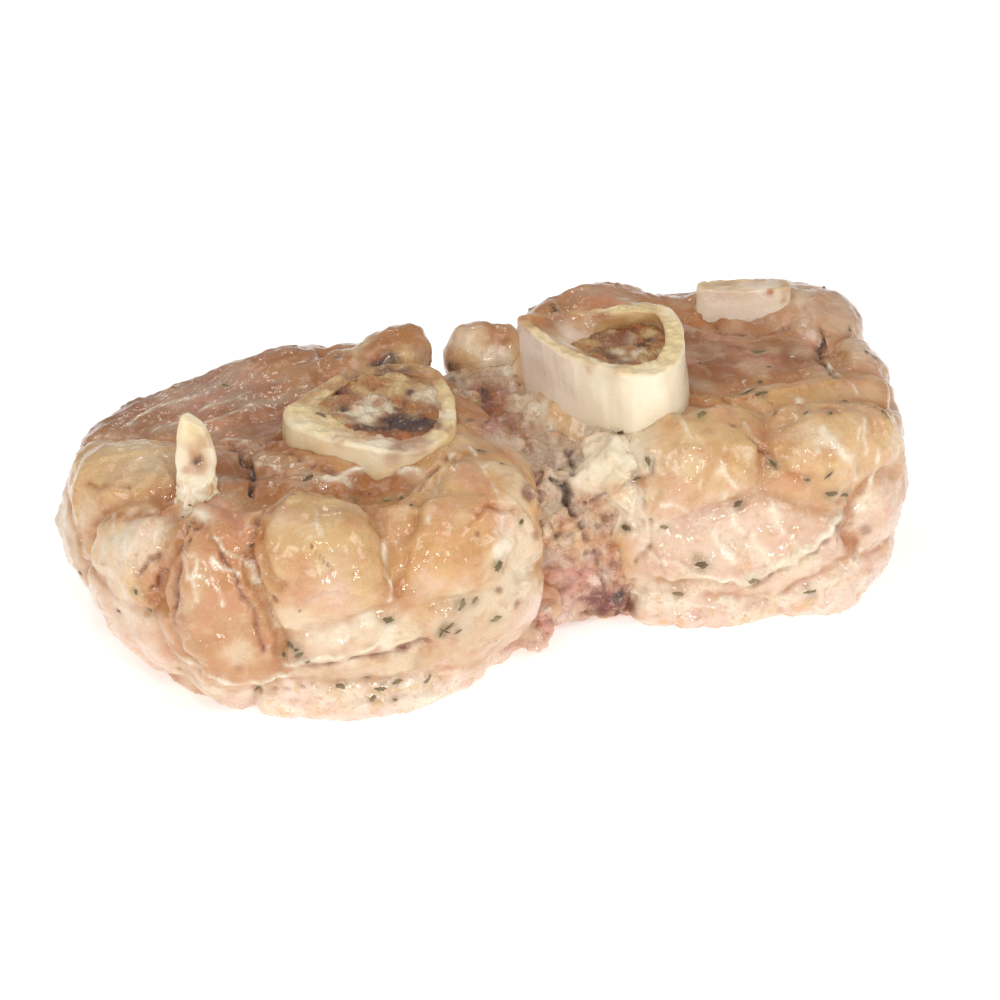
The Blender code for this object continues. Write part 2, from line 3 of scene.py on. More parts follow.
import bmesh
import bpy
import numpy as np
from mathutils import Matrix, Vector
from mathutils.bvhtree import BVHTree


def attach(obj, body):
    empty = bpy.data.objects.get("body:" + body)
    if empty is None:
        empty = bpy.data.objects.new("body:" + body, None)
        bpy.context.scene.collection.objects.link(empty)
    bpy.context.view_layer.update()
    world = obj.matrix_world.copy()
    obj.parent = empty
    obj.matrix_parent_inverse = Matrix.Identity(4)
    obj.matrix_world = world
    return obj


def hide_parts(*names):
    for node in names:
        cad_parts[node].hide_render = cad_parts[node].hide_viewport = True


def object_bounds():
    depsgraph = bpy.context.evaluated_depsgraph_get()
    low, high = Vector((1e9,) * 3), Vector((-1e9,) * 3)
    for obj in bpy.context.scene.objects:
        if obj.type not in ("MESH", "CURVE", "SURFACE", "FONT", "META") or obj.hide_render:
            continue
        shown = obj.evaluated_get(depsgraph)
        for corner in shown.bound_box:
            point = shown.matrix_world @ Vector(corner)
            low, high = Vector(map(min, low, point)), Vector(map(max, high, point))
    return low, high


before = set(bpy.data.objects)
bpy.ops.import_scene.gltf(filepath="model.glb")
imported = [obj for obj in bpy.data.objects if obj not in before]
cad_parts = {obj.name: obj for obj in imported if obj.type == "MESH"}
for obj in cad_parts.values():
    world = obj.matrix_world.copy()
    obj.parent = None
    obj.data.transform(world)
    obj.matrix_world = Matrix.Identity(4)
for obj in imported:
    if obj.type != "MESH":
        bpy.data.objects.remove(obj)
cad_low, cad_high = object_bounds()

# The table and the light: a white table in a studio light tent, lit mostly from the front and from low down.
# The camera stands where the photograph was taken. Sizes are in the layout's millimetres.
MM = 0.001
LAYOUT_MIDDLE = np.array([-3.35, -2.62, 0.0])
PHOTO_SIZE = 1000
PHOTO_TURN, PHOTO_RISE, PHOTO_DISTANCE, PHOTO_LENS = math.radians(-20), math.radians(33), 650.0, 105.0
PHOTO_AIM = np.array([5.6, 21.3, 0.0])
FILM_WIDTH = 36.0
FOCAL = PHOTO_SIZE / FILM_WIDTH * PHOTO_LENS
# Each lamp: its place and width in metres, and its power.
LAMPS = {
    "left_lamp": ((-0.95, -0.6, 0.7), 0.5, 3.4),
    "front_right_lamp": ((0.75, -0.6, 0.65), 0.45, 2.6),
    "top_lamp": ((-0.3, 0.3, 1.1), 0.7, 2.6),
    "low_left_glint": ((-0.5, -1.1, 0.16), 0.14, 1.7),
    "low_right_glint": ((0.2, -1.15, 0.22), 0.14, 1.5),
    "high_glint": ((-0.15, -0.65, 0.9), 0.12, 1.2),
    "rear_glint": ((0.1, 0.75, 0.6), 0.12, 0.25),
}
TENT_GLOW, TABLE_GLOW = 0.36, 0.42
TABLE_WHITE, TABLE_ROUGHNESS, TABLE_HALF_WIDTH = 0.92, 0.9, 3.0

photo_back = np.array([
    math.sin(PHOTO_TURN) * math.cos(PHOTO_RISE),
    -math.cos(PHOTO_TURN) * math.cos(PHOTO_RISE),
    math.sin(PHOTO_RISE),
])
photo_right = np.array([math.cos(PHOTO_TURN), math.sin(PHOTO_TURN), 0.0])
photo_up = np.cross(photo_back, photo_right)
photo_place = PHOTO_AIM + photo_back * PHOTO_DISTANCE


def to_row(points):
    """Layout millimetres to metres in the part's own frame."""
    return (np.asarray(points, float) - LAYOUT_MIDDLE) * MM


def seen_at(tree, across, down):
    """Where a pixel of the photograph falls on a surface, in layout millimetres."""
    half = PHOTO_SIZE / 2
    ray = photo_right * (across - half) / FOCAL + photo_up * (half - down) / FOCAL - photo_back
    start = Vector(to_row(photo_place))
    hit = tree.ray_cast(start, Vector(ray).normalized())[0]
    if hit is None:
        hit = tree.find_nearest(start + Vector(ray * PHOTO_DISTANCE * MM))[0]
    return np.array(hit) / MM + LAYOUT_MIDDLE


def add_to_scene(name, data, place=(0, 0, 0)):
    thing = bpy.data.objects.new(name, data)
    thing.location = place
    bpy.context.collection.objects.link(thing)
    return thing


def add_camera():
    camera = bpy.data.cameras.new("photo_camera")
    camera.lens = PHOTO_LENS
    camera.sensor_width = FILM_WIDTH
    camera.clip_start = 0.01
    stand = add_to_scene("photo_camera", camera, to_row(photo_place))
    stand.rotation_euler = Vector(photo_back).to_track_quat("Z", "Y").to_euler()
    bpy.context.scene.camera = stand


def add_lamps():
    for name, (place, width, power) in LAMPS.items():
        lamp = bpy.data.lights.new(name, "AREA")
        lamp.energy = power
        lamp.size = width
        stand = add_to_scene(name, lamp, place)
        stand.rotation_euler = Vector(place).to_track_quat("Z", "Y").to_euler()
    tent = bpy.data.worlds.new("light_tent")
    tent.use_nodes = True
    tent.node_tree.nodes["Background"].inputs["Color"].default_value = (1.0, 1.0, 1.0, 1.0)
    tent.node_tree.nodes["Background"].inputs["Strength"].default_value = TENT_GLOW
    bpy.context.scene.world = tent
    bpy.context.scene.view_settings.view_transform = "Standard"


def add_table():
    bm = bmesh.new()
    bmesh.ops.create_grid(bm, x_segments=2, y_segments=2, size=TABLE_HALF_WIDTH)
    top = bpy.data.meshes.new("table")
    bm.to_mesh(top)
    bm.free()
    paint = bpy.data.materials.new("white_table")
    paint.use_nodes = True
    shader = paint.node_tree.nodes["Principled BSDF"]
    shader.inputs["Base Color"].default_value = (TABLE_WHITE, TABLE_WHITE, TABLE_WHITE, 1.0)
    shader.inputs["Roughness"].default_value = TABLE_ROUGHNESS
    shader.inputs["Specular IOR Level"].default_value = 0.0
    shader.inputs["Emission Color"].default_value = (1.0, 1.0, 1.0, 1.0)
    shader.inputs["Emission Strength"].default_value = TABLE_GLOW
    top.materials.append(paint)
    add_to_scene("table", top)


add_camera()
add_lamps()
add_table()

# The marrow bones: two sawn lengths of pork shin bone, pale hard walls round a spongy core. They stand in the
# meat, which shrank down from them in cooking, and their sawn faces are smeared with fat and browned juices.
BONE_STEPS = 200
BONE_EDGE_ROUNDING = 0.7
# How far down the right bone's cavity its wide mouth slopes.
FLARE_DEPTH = 3.6
# Each bone: the outline and cavity of its sawn face, that face's height and lean, how far its foot stands
# off, how deep its marrow lies, and how much its cavity opens to the left.
BONES = {
    "left": {
        "outline": (
            (-48.5, 1), (-49, -5), (-45, -12), (-39, -18), (-32, -22.5), (-24, -22), (-17.5, -16), (-14, -5),
            (-13, 4), (-14, 9), (-19, 12), (-26, 13.2), (-33, 12.2), (-39, 8.5), (-44, 5),
        ),
        "cavity": (
            (-41, 0), (-39.5, -7), (-35.5, -13.5), (-27, -18), (-21, -14), (-17.5, -5), (-17, 3), (-20, 7.5),
            (-26.5, 9), (-34, 6.5),
        ),
        "top": 46.0, "lean": (-0.03, -0.02), "foot": (-3.0, 1.0), "marrow_depth": -0.1, "flare": 0.0,
    },
    "right": {
        "outline": (
            (2.8, 4.4), (3.9, -1.4), (5.6, -8.6), (8.4, -14.4), (12.1, -20), (16.6, -25), (22.3, -26.2),
            (28, -23), (32.8, -14.5), (34.8, -5), (32, 0.5), (25.5, 2), (18, 2.5), (11, 4.5), (6, 6),
        ),
        "cavity": (
            (12, -4), (14.5, -10), (17.8, -16.7), (22.3, -20.5), (27, -17.5), (30.5, -9), (30.3, -3.5),
            (24.6, -1.5), (17.6, -1.5),
        ),
        "top": 56.0, "lean": (0.03, 0.02), "foot": (9.0, 4.0), "marrow_depth": 3.6, "flare": 0.85,
    },
}
# Colours of the dish by name, as a paint chart gives them, 0 to 255.
TINTS = {
    "ivory": (248, 234, 206), "old ivory": (236, 208, 150), "bone pink": (248, 232, 218),
    "sponge": (188, 138, 84), "amber": (176, 100, 36), "rust": (128, 62, 34), "scorch": (66, 38, 36),
    # The crevice colour is painted shade, laid in cracks and gaps where shade falls.
    "crevice shade": (52, 24, 18),
}


def colour(name):
    """A named colour as the shader wants it."""
    parts = np.array(TINTS[name]) / 255
    return np.append(np.where(parts <= 0.04045, parts / 12.92, ((parts + 0.055) / 1.055) ** 2.4), 1.0)


def smooth_loop(points, steps):
    """A closed curve through the points, with the same number of steps from each to the next."""
    corners = np.array(points, float)
    curve = []
    for i in range(len(corners)):
        before, start, end, after = (corners[(i + k) % len(corners)] for k in (-1, 0, 1, 2))
        for t in np.linspace(0, 1, steps, endpoint=False):
            curve.append(
                0.5 * (2 * start + (end - before) * t
                       + (2 * before - 5 * start + 4 * end - after) * t ** 2
                       + (3 * start - before - 3 * end + after) * t ** 3)
            )
    return np.array(curve)


def radii_about(centre, points, wanted):
    """The outline's distance from its centre at the wanted angles."""
    offsets = smooth_loop(points, 24) - np.array(centre)
    angles = np.arctan2(offsets[:, 1], offsets[:, 0])
    order = np.argsort(angles)
    return np.interp(wanted, angles[order], np.hypot(offsets[:, 0], offsets[:, 1])[order], period=2 * math.pi)


def swell(points, length, seed, waves=24):
    """Smooth noise between about -1 and 1, from waves in random directions."""
    draw = np.random.default_rng(seed)
    directions = draw.normal(size=(waves, 3))
    directions /= np.linalg.norm(directions, axis=1)[:, None]
    phases = draw.uniform(0, 2 * math.pi, waves)
    lengths = length * draw.uniform(0.7, 1.4, waves)
    total = np.zeros(len(points))
    for direction, phase, wave in zip(directions, phases, lengths):
        total += np.sin(points @ direction * (2 * math.pi / wave) + phase)
    return total / math.sqrt(waves)


def patches(points, length, seed, strength):
    """Smooth patches that rise from 0 to the strength, over about half of the points."""
    return np.clip(strength * swell(points, length, seed), 0, strength)


def wander(points, length, seed):
    """A smooth random shift for each point, which makes the edge of a patch ragged."""
    return np.column_stack([swell(points, length, seed + k) for k in range(3)])


def mesh_of(name, points, faces):
    mesh = bpy.data.meshes.new(name)
    mesh.from_pydata(to_row(points).tolist(), [], faces)
    mesh.update()
    return mesh


def points_of(mesh):
    """A mesh's points in layout millimetres, and their normals."""
    count = len(mesh.vertices)
    points, normals = np.empty(count * 3), np.empty(count * 3)
    mesh.vertices.foreach_get("co", points)
    mesh.vertex_normals.foreach_get("vector", normals)
    return points.reshape(-1, 3) / MM + LAYOUT_MIDDLE, normals.reshape(-1, 3)


def ring_faces(rings, steps, closed):
    """Faces between rings of points: the last ring meets the first, or both ends have a cap."""
    faces = []
    for ring in range(rings if closed else rings - 1):
        lower, upper = ring * steps, (ring + 1) % rings * steps
        for i in range(steps):
            j = (i + 1) % steps
            faces.append((lower + i, lower + j, upper + j, upper + i))
    if not closed:
        faces.append(tuple(range(steps - 1, -1, -1)))
        faces.append(tuple(range((rings - 1) * steps, rings * steps)))
    return faces


def keep_tints(mesh, tints):
    """Stores a colour for each point of a mesh, for its material to read."""
    paint = mesh.color_attributes.get("tint") or mesh.color_attributes.new("tint", "FLOAT_COLOR", "POINT")
    paint.data.foreach_set("color", np.asarray(tints, np.float32).ravel())


def kept_tints(mesh):
    tints = np.empty(len(mesh.vertices) * 4, np.float32)
    mesh.color_attributes["tint"].data.foreach_get("color", tints)
    return tints.reshape(-1, 4)


def keep_mask(mesh, name, values):
    """Stores a number for each point of a mesh, for its material to read."""
    mask = mesh.attributes.get(name) or mesh.attributes.new(name, "FLOAT", "POINT")
    mask.data.foreach_set("value", np.asarray(values, np.float32))


def lay_on(tints, share, name):
    """Lays a named colour over the tints, by a share for each point."""
    tints += share[:, None] * (colour(name) - tints)


def paint_spots(mesh, tree, spots):
    """Paints soft ragged spots, each a colour, a photo pixel, a radius in mm and a strength."""
    points, _ = points_of(mesh)
    tints = kept_tints(mesh)
    rough = wander(points, 7, 80) * 0.3 + wander(points, 2.6, 90) * 0.16
    for name, across, down, radius, strength in spots:
        distance = np.linalg.norm(points + rough * radius - seen_at(tree, across, down), axis=1) / radius
        lay_on(tints, strength * np.clip(1.5 * np.exp(-distance ** 2), 0, 1), name)
    keep_tints(mesh, tints)


def surface_of(*meshes):
    """A tree for finding places on some meshes."""
    corners, faces = [], []
    for mesh in meshes:
        start = len(corners)
        corners += [tuple(vertex.co) for vertex in mesh.vertices]
        faces += [tuple(start + i for i in face.vertices) for face in mesh.polygons]
    return BVHTree.FromPolygons(corners, faces)


def show_piece(name, mesh, material, nodes):
    piece = add_to_scene(name, mesh)
    mesh.materials.clear()
    mesh.materials.append(material)
    mesh.shade_smooth()
    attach(piece, "root")
    if nodes:
        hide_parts(*nodes)


def add_node(tree, kind, sockets, **settings):
    """A shader node with its settings, and its sockets set or linked."""
    node = tree.nodes.new(kind)
    for key, value in settings.items():
        setattr(node, key, value)
    for key, value in sockets.items():
        if isinstance(value, bpy.types.NodeSocket):
            tree.links.new(value, node.inputs[key])
        else:
            node.inputs[key].default_value = value
    return node


def sums(tree, how, first, second):
    return add_node(tree, "ShaderNodeMath", {0: first, 1: second}, operation=how).outputs[0]


def cloud(tree, size, warp, offset):
    """Noise from 0 to 1 whose lumps are about size millimetres."""
    place = add_node(tree, "ShaderNodeTexCoord", {}).outputs["Object"]
    shift = {"Vector": place, "Location": (offset, offset, offset)}
    place = add_node(tree, "ShaderNodeMapping", shift).outputs[0]
    sockets = {"Vector": place, "Scale": 1 / (size * MM), "Detail": 4.0, "Roughness": 0.6, "Distortion": warp}
    return add_node(tree, "ShaderNodeTexNoise", sockets).outputs["Fac"]


def read_point(tree, name, output):
    """What the points of a mesh keep under a name."""
    return add_node(tree, "ShaderNodeAttribute", {}, attribute_name=name).outputs[output]


def between(tree, value, low, high):
    """0 below low and 1 above high, with a soft step between."""
    sockets = {"Value": value, "From Min": low, "From Max": high}
    return add_node(tree, "ShaderNodeMapRange", sockets, interpolation_type="SMOOTHSTEP").outputs["Result"]


# How far apart the noises of a finish are taken, so that no two share their lumps.
NOISE_STEP, WET_NOISE, DULL_NOISE = 0.37, 9.0, 7.0
DULL_PATCH = 6
FOOD_IOR = 1.4


def finish(name, marks, threads, grains, wet_grain, rough, sink, shine):
    """A moist food material over the painted tints. Marks are (size mm, low, high, share, colour, mask) and
    threads are (size mm, width, share, colour, mask); grains are (size mm, weight) for the relief in mm."""
    material = bpy.data.materials.new(name)
    material.use_nodes = True
    tree = material.node_tree
    tree.nodes.clear()
    tint = read_point(tree, "tint", "Color")
    offset = 0.0
    layers = []
    for size, low, high, share, shade, mask in marks:
        offset += NOISE_STEP
        layers.append((between(tree, cloud(tree, size, 0.5, offset), low, high), share, shade, mask))
    for size, width, share, shade, mask in threads:
        offset += NOISE_STEP
        ridge = sums(tree, "ABSOLUTE", sums(tree, "SUBTRACT", cloud(tree, size, 1.5, offset), 0.5), 0.0)
        layers.append((sums(tree, "SUBTRACT", 1.0, between(tree, ridge, 0.0, width)), share, shade, mask))
    for amount, share, shade, mask in layers:
        amount = sums(tree, "MULTIPLY", amount, share)
        if mask:
            amount = sums(tree, "MULTIPLY", amount, read_point(tree, mask, "Fac"))
        mix = {0: amount, 6: tint, 7: tuple(colour(shade))}
        tint = add_node(tree, "ShaderNodeMix", mix, data_type="RGBA").outputs[2]
    height = 0.0
    for size, weight in grains:
        offset += NOISE_STEP
        height = sums(tree, "ADD", height, sums(tree, "MULTIPLY", cloud(tree, size, 0.4, offset), weight))
    relief = add_node(tree, "ShaderNodeBump", {"Height": height, "Distance": MM}).outputs["Normal"]
    wet = sums(tree, "MULTIPLY", cloud(tree, wet_grain[0], 0.3, WET_NOISE), wet_grain[1])
    wet = add_node(tree, "ShaderNodeBump", {"Height": wet, "Distance": MM}).outputs["Normal"]
    dull = {"Value": cloud(tree, DULL_PATCH, 0.5, DULL_NOISE), "To Min": rough[0], "To Max": rough[1]}
    shader = add_node(tree, "ShaderNodeBsdfPrincipled", {
        "Base Color": tint,
        "Roughness": add_node(tree, "ShaderNodeMapRange", dull).outputs["Result"],
        "Normal": relief,
        "Coat Normal": wet,
        "Subsurface Weight": sink[0],
        "Subsurface Radius": sink[1],
        "Subsurface Scale": sink[2] * MM,
        "Coat Weight": shine[0],
        "Coat Roughness": shine[1],
        "IOR": FOOD_IOR,
    })
    add_node(tree, "ShaderNodeOutputMaterial", {"Surface": shader.outputs["BSDF"]})
    return material


def polar_shape(shape):
    """A marrow bone's centre, and its outline and cavity at equal angles."""
    centre = np.array(shape["cavity"], float).mean(axis=0)
    angles = np.linspace(-math.pi, math.pi, BONE_STEPS, endpoint=False)
    spokes = np.stack([np.cos(angles), np.sin(angles)], axis=1)
    outer, inner = (radii_about(centre, shape[key], angles) for key in ("outline", "cavity"))
    return centre, spokes, outer, inner


def slanted(shape, centre, flat, depth=None, height=None):
    """Puts a flat ring at a depth under the leaning sawn face, or at a height, on the bone's slant."""
    if height is None:
        heights = shape["top"] - depth + (flat - centre) @ np.array(shape["lean"])
    else:
        heights = np.full(len(flat), float(height))
    return np.column_stack([flat + np.outer(1 - heights / shape["top"], shape["foot"]), heights])


def make_marrow_bone(side, material):
    shape = BONES[side]
    centre, spokes, outer, inner = polar_shape(shape)
    # The right bone's cavity opens wide to the left, and slopes down to its marrow there.
    open_left = np.clip(0.3 - spokes[:, 0], 0, 1) * shape["flare"] * np.maximum(outer - inner - 1.6, 0)
    rings, faces_up, inward = [], [], []

    def add_ring(radii, face_up, share, depth=None, height=None):
        rings.append(slanted(shape, centre, centre + spokes * radii[:, None], depth, height))
        faces_up.append(np.full(BONE_STEPS, face_up))
        inward.append(np.full(BONE_STEPS, share))

    for height in np.linspace(0, shape["top"] - 4, 60):
        add_ring(outer, 0.0, 0.0, height=height)
    for depth in (2.0, 1.5, 1.0, BONE_EDGE_ROUNDING):
        add_ring(outer, 0.0, 0.0, depth=depth)
    add_ring(outer - 0.22, 0.6, 0.0, depth=0.22)
    for share in np.linspace(0, 1, 20):
        rim = outer - BONE_EDGE_ROUNDING
        add_ring(rim + (inner + open_left - rim) * share, 1.0, share, depth=0.0)
    for share in np.linspace(0.1, 1, 16):
        add_ring(inner + open_left * (1 - share), 1.0, 1.05 + share, depth=0.3 + FLARE_DEPTH * share)
    for height in (shape["top"] * 0.5, 0.0):
        add_ring(inner, 1.0, 1.3, height=height)
    points = np.concatenate(rings)
    face_up, inward = np.concatenate(faces_up), np.concatenate(inward)
    outward = np.tile(np.column_stack([spokes, np.zeros(BONE_STEPS)]), (len(rings), 1))
    streaks = np.column_stack([points[:, :2], points[:, 2] * 0.12])
    relief = 0.25 * swell(points, 9, 3) + 0.05 * swell(streaks, 2.4, 4)
    points += outward * (relief * (1 - face_up))[:, None]
    points[:, 2] += (0.22 * swell(points, 4, 5) + 0.14 * swell(points, 1.7, 6)) * face_up
    points[:, 2] = np.maximum(points[:, 2], 0.0)
    mesh = mesh_of(side + "_bone", points, ring_faces(len(rings), BONE_STEPS, closed=True))
    tints = np.tile(colour("ivory"), (len(points), 1))
    if side == "left":
        lay_on(tints, np.full(len(points), 0.9), "old ivory")
        spongy = np.clip((inward - 0.55 + 0.3 * swell(points, 6, 7)) * 3, 0, 1)
        lay_on(tints, face_up * spongy * 0.8, "sponge")
        lay_on(tints, face_up * np.clip((points[:, 1] - 2 + 3 * swell(points, 5, 8)) / 5, 0, 0.85), "sponge")
    else:
        in_cavity, at_rim = np.clip((inward - 1.0) * 20, 0, 1), np.clip((inward - 0.8) * 5, 0, 1)
        lay_on(tints, np.clip((14 - points[:, 0]) / 10, 0, 1) * 0.9 * (1 - face_up), "bone pink")
        lay_on(tints, face_up * 0.9, "old ivory")
        lay_on(tints, in_cavity * 0.75, "sponge")
        lay_on(tints, in_cavity * np.clip(swell(points, 6, 9), 0, 0.45), "bone pink")
        lay_on(tints, at_rim * np.clip(0.6 - 0.4 * swell(points, 5, 8), 0, 0.6), "sponge")
    keep_tints(mesh, tints)
    paint_spots(mesh, surface_of(mesh), BONE_SPOTS[side])
    show_piece(side + "_marrow_bone_dressed", mesh, material, [side + "_marrow_bone"])
    return mesh


# Spots on the bones' faces and walls: colour, photo pixel, radius in mm and strength, the later ones on top.
BONE_SPOTS = {
    "left": (
        ("sponge", 440, 375, 4, 0.8), ("amber", 338, 398, 2, 0.5), ("scorch", 404, 370, 1.8, 0.6),
        ("rust", 352, 378, 2.6, 0.5), ("scorch", 385, 372, 2.2, 0.6), ("sponge", 330, 388, 2.4, 0.6),
        ("rust", 402, 375, 2.6, 0.45), ("amber", 425, 379, 2.6, 0.6), ("sponge", 446, 396, 1.6, 0.6),
        ("amber", 375, 438, 1.8, 0.75), ("amber", 398, 441, 2.0, 0.8), ("amber", 418, 438, 1.8, 0.7),
        ("ivory", 385, 463, 4, 0.8), ("ivory", 345, 455, 4, 0.7), ("scorch", 322, 411, 1.0, 0.8),
        ("rust", 437, 425, 1.6, 0.7), ("rust", 406, 437, 1.4, 0.6), ("sponge", 322, 404, 1.8, 0.6),
        ("rust", 317, 409, 1.0, 0.6), ("sponge", 345, 430, 1.8, 0.6), ("sponge", 300, 415, 2.0, 0.3),
        ("old ivory", 320, 418, 5, 0.6), ("ivory", 300, 435, 4, 0.6), ("ivory", 385, 452, 4, 0.7),
        ("ivory", 425, 452, 4, 0.7), ("ivory", 452, 415, 3, 0.6), ("amber", 340, 437, 1.6, 0.4),
        ("amber", 395, 461, 1.4, 0.35), ("amber", 452, 430, 1.4, 0.5), ("rust", 405, 446, 2.4, 0.5),
        ("amber", 420, 443, 2.6, 0.5), ("old ivory", 440, 395, 3, 0.5), ("amber", 362, 436, 1.8, 0.5),
    ),
    "right": (
        ("sponge", 655, 335, 1.6, 0.6), ("sponge", 641, 352, 1.6, 0.6), ("sponge", 615, 368, 1.8, 0.6),
        ("sponge", 660, 318, 1.6, 0.5), ("sponge", 640, 306, 2.0, 0.5), ("amber", 535, 316, 2.4, 0.6),
        ("sponge", 590, 362, 2.0, 0.5), ("rust", 600, 314, 1.6, 0.4), ("sponge", 572, 350, 2.4, 0.4),
        ("sponge", 548, 318, 5.0, 0.6), ("bone pink", 572, 334, 3.0, 0.4), ("amber", 520, 312, 2.0, 0.4),
        ("rust", 560, 318, 2.2, 0.55), ("rust", 548, 325, 1.8, 0.5), ("amber", 575, 316, 2.2, 0.4),
        ("amber", 530, 318, 2.4, 0.45), ("amber", 548, 314, 2.0, 0.4), ("amber", 590, 312, 2, 0.35),
        ("old ivory", 640, 310, 3, 0.7), ("amber", 655, 312, 1.6, 0.35), ("ivory", 672, 310, 2.4, 0.6),
        ("ivory", 570, 345, 3, 0.5), ("scorch", 514, 334, 0.8, 0.8), ("bone pink", 545, 375, 6, 0.5),
        ("ivory", 600, 390, 6, 0.5), ("bone pink", 565, 345, 3, 0.3), ("ivory", 650, 395, 6, 0.6),
    ),
}
bone_finish = finish(
    "sawn_bone",
    marks=(
        (2.2, 0.5, 0.8, 0.2, "ivory", None), (6, 0.5, 0.8, 0.2, "old ivory", None),
        (1.1, 0.62, 0.74, 0.2, "sponge", None),
    ),
    threads=((9, 0.01, 0.1, "sponge", None),),
    grains=((3, 0.3), (0.8, 0.12)), wet_grain=(2.4, 0.2), rough=(0.35, 0.6),
    sink=(0.25, (1.0, 0.8, 0.6), 2.0), shine=(0.7, 0.08),
)
left_bone_mesh = make_marrow_bone("left", bone_finish)
right_bone_mesh = make_marrow_bone("right", bone_finish)

# The marrow: soft fatty core in each bone, browned and crumbled by the long cooking. It fills the left bone
# to its rim, and has sunk a little in the right one.
MARROW_RINGS = 72
MARROW_PRESS = 0.5
MARROW_SPOTS = {
    "left": (
        ("ivory", 360, 412, 3.2, 0.9), ("ivory", 372, 402, 2.4, 0.8), ("ivory", 387, 411, 2.2, 0.7),
        ("ivory", 430, 396, 3.0, 0.7), ("old ivory", 395, 388, 3.4, 0.6), ("amber", 375, 382, 2.4, 0.7),
        ("amber", 378, 404, 1.4, 0.7), ("scorch", 411, 392, 0.8, 0.9), ("scorch", 405, 402, 0.9, 0.9),
        ("scorch", 399, 409, 1.1, 0.9), ("rust", 352, 418, 1.2, 0.5), ("amber", 350, 385, 2, 0.5),
        ("amber", 400, 398, 2.2, 0.4), ("rust", 340, 392, 2.2, 0.75), ("rust", 346, 402, 1.4, 0.7),
        ("amber", 330, 388, 2.2, 0.4), ("rust", 430, 408, 2, 0.5), ("amber", 438, 415, 2.4, 0.5),
        ("rust", 400, 428, 5.0, 0.7), ("amber", 352, 398, 2.6, 0.6), ("amber", 415, 405, 2.6, 0.6),
        ("scorch", 395, 427, 3.0, 1.0), ("scorch", 412, 422, 3.0, 1.0), ("scorch", 378, 430, 2.4, 0.9),
        ("scorch", 428, 422, 2.4, 0.9), ("scorch", 362, 428, 1.6, 0.7), ("rust", 437, 427, 2.0, 0.8),
        ("rust", 440, 430, 1.8, 0.7), ("amber", 405, 442, 3.0, 0.9), ("amber", 380, 443, 2.4, 0.8),
        ("rust", 390, 441, 1.8, 0.6), ("amber", 425, 440, 2.2, 0.7), ("scorch", 378, 370, 2.4, 0.8),
        ("sponge", 420, 382, 3, 0.4), ("scorch", 338, 392, 1.0, 0.8), ("scorch", 343, 408, 1.0, 0.8),
    ),
    "right": (
        ("ivory", 628, 337, 1.4, 0.9), ("ivory", 608, 344, 0.9, 0.8), ("ivory", 618, 352, 1.2, 0.6),
        ("ivory", 636, 352, 1.3, 0.7), ("ivory", 626, 358, 1.0, 0.6), ("ivory", 612, 332, 0.9, 0.6),
        ("rust", 614, 340, 3, 0.7), ("rust", 622, 330, 2.4, 0.7), ("amber", 638, 342, 2.5, 0.5),
        ("scorch", 596, 336, 1.4, 0.8), ("scorch", 606, 328, 1.6, 0.7), ("scorch", 640, 345, 1.2, 0.8),
        ("scorch", 600, 350, 1.4, 0.6), ("scorch", 620, 362, 1.6, 0.6), ("scorch", 648, 340, 0.9, 0.8),
        ("scorch", 610, 356, 1.2, 0.7), ("scorch", 634, 330, 1.0, 0.5), ("sponge", 590, 342, 3, 0.5),
    ),
}


def make_marrow(side, material):
    shape = BONES[side]
    centre, spokes, _, inner = polar_shape(shape)
    depth = shape["marrow_depth"]
    stem = centre + spokes * (inner - 0.3)[:, None]
    rings = [slanted(shape, centre, stem, height=shape["top"] * rise) for rise in (0.01, 0.8)]
    for share in np.linspace(1, 0.01, MARROW_RINGS):
        flat = centre + spokes * ((inner + MARROW_PRESS) * share)[:, None]
        rings.append(slanted(shape, centre, flat, depth=depth + 0.3 * (1 - share) + 0.5 * share ** 20))
    points = np.concatenate(rings)
    top = slice(2 * BONE_STEPS, None)
    crumble = 0.3 * swell(points, 8, 21) + 0.3 * swell(points, 3.4, 22)
    crumble += 0.22 * np.abs(swell(points, 1.7, 23))
    points[top, 2] += crumble[top]
    mesh = mesh_of(side + "_marrow_core", points, ring_faces(len(rings), BONE_STEPS, closed=False))
    tints = np.tile(colour("sponge"), (len(points), 1))
    lay_on(tints, patches(points, 5, 24, 0.6), "old ivory")
    lay_on(tints, np.clip(swell(points, 3, 25) - 0.4, 0, 1), "amber")
    keep_tints(mesh, tints)
    paint_spots(mesh, surface_of(mesh), MARROW_SPOTS[side])
    show_piece(side + "_marrow_dressed", mesh, material, [side + "_marrow"])
    return mesh


marrow_finish = finish(
    "cooked_marrow",
    marks=(
        (1.6, 0.55, 0.75, 0.5, "old ivory", None), (2.4, 0.58, 0.72, 0.45, "rust", None),
        (0.9, 0.66, 0.74, 0.6, "scorch", None),
    ),
    threads=((3, 0.02, 0.3, "rust", None),),
    grains=((1.3, 0.7), (0.5, 0.25)), wet_grain=(1.2, 0.35), rough=(0.3, 0.6),
    sink=(0.12, (1.0, 0.6, 0.35), 1.2), shine=(0.7, 0.1),
)
left_marrow_mesh = make_marrow("left", marrow_finish)
right_marrow_mesh = make_marrow("right", marrow_finish)

# The small bones: a broken sliver that stands out of the left slice, and the sawn plate of the shank's second
# bone in the right slice. Both are bare ivory bone; the sliver's lower half is crusted with gristle.
SLIVER_FOOT, SLIVER_TIP = np.array((-73.5, -23.5, 28.0)), np.array((-70.5, -12.5, 57.0))
SLIVER_WIDTH, SLIVER_THICKNESS, SLIVER_TURN = 8.0, 5.2, math.radians(-18)
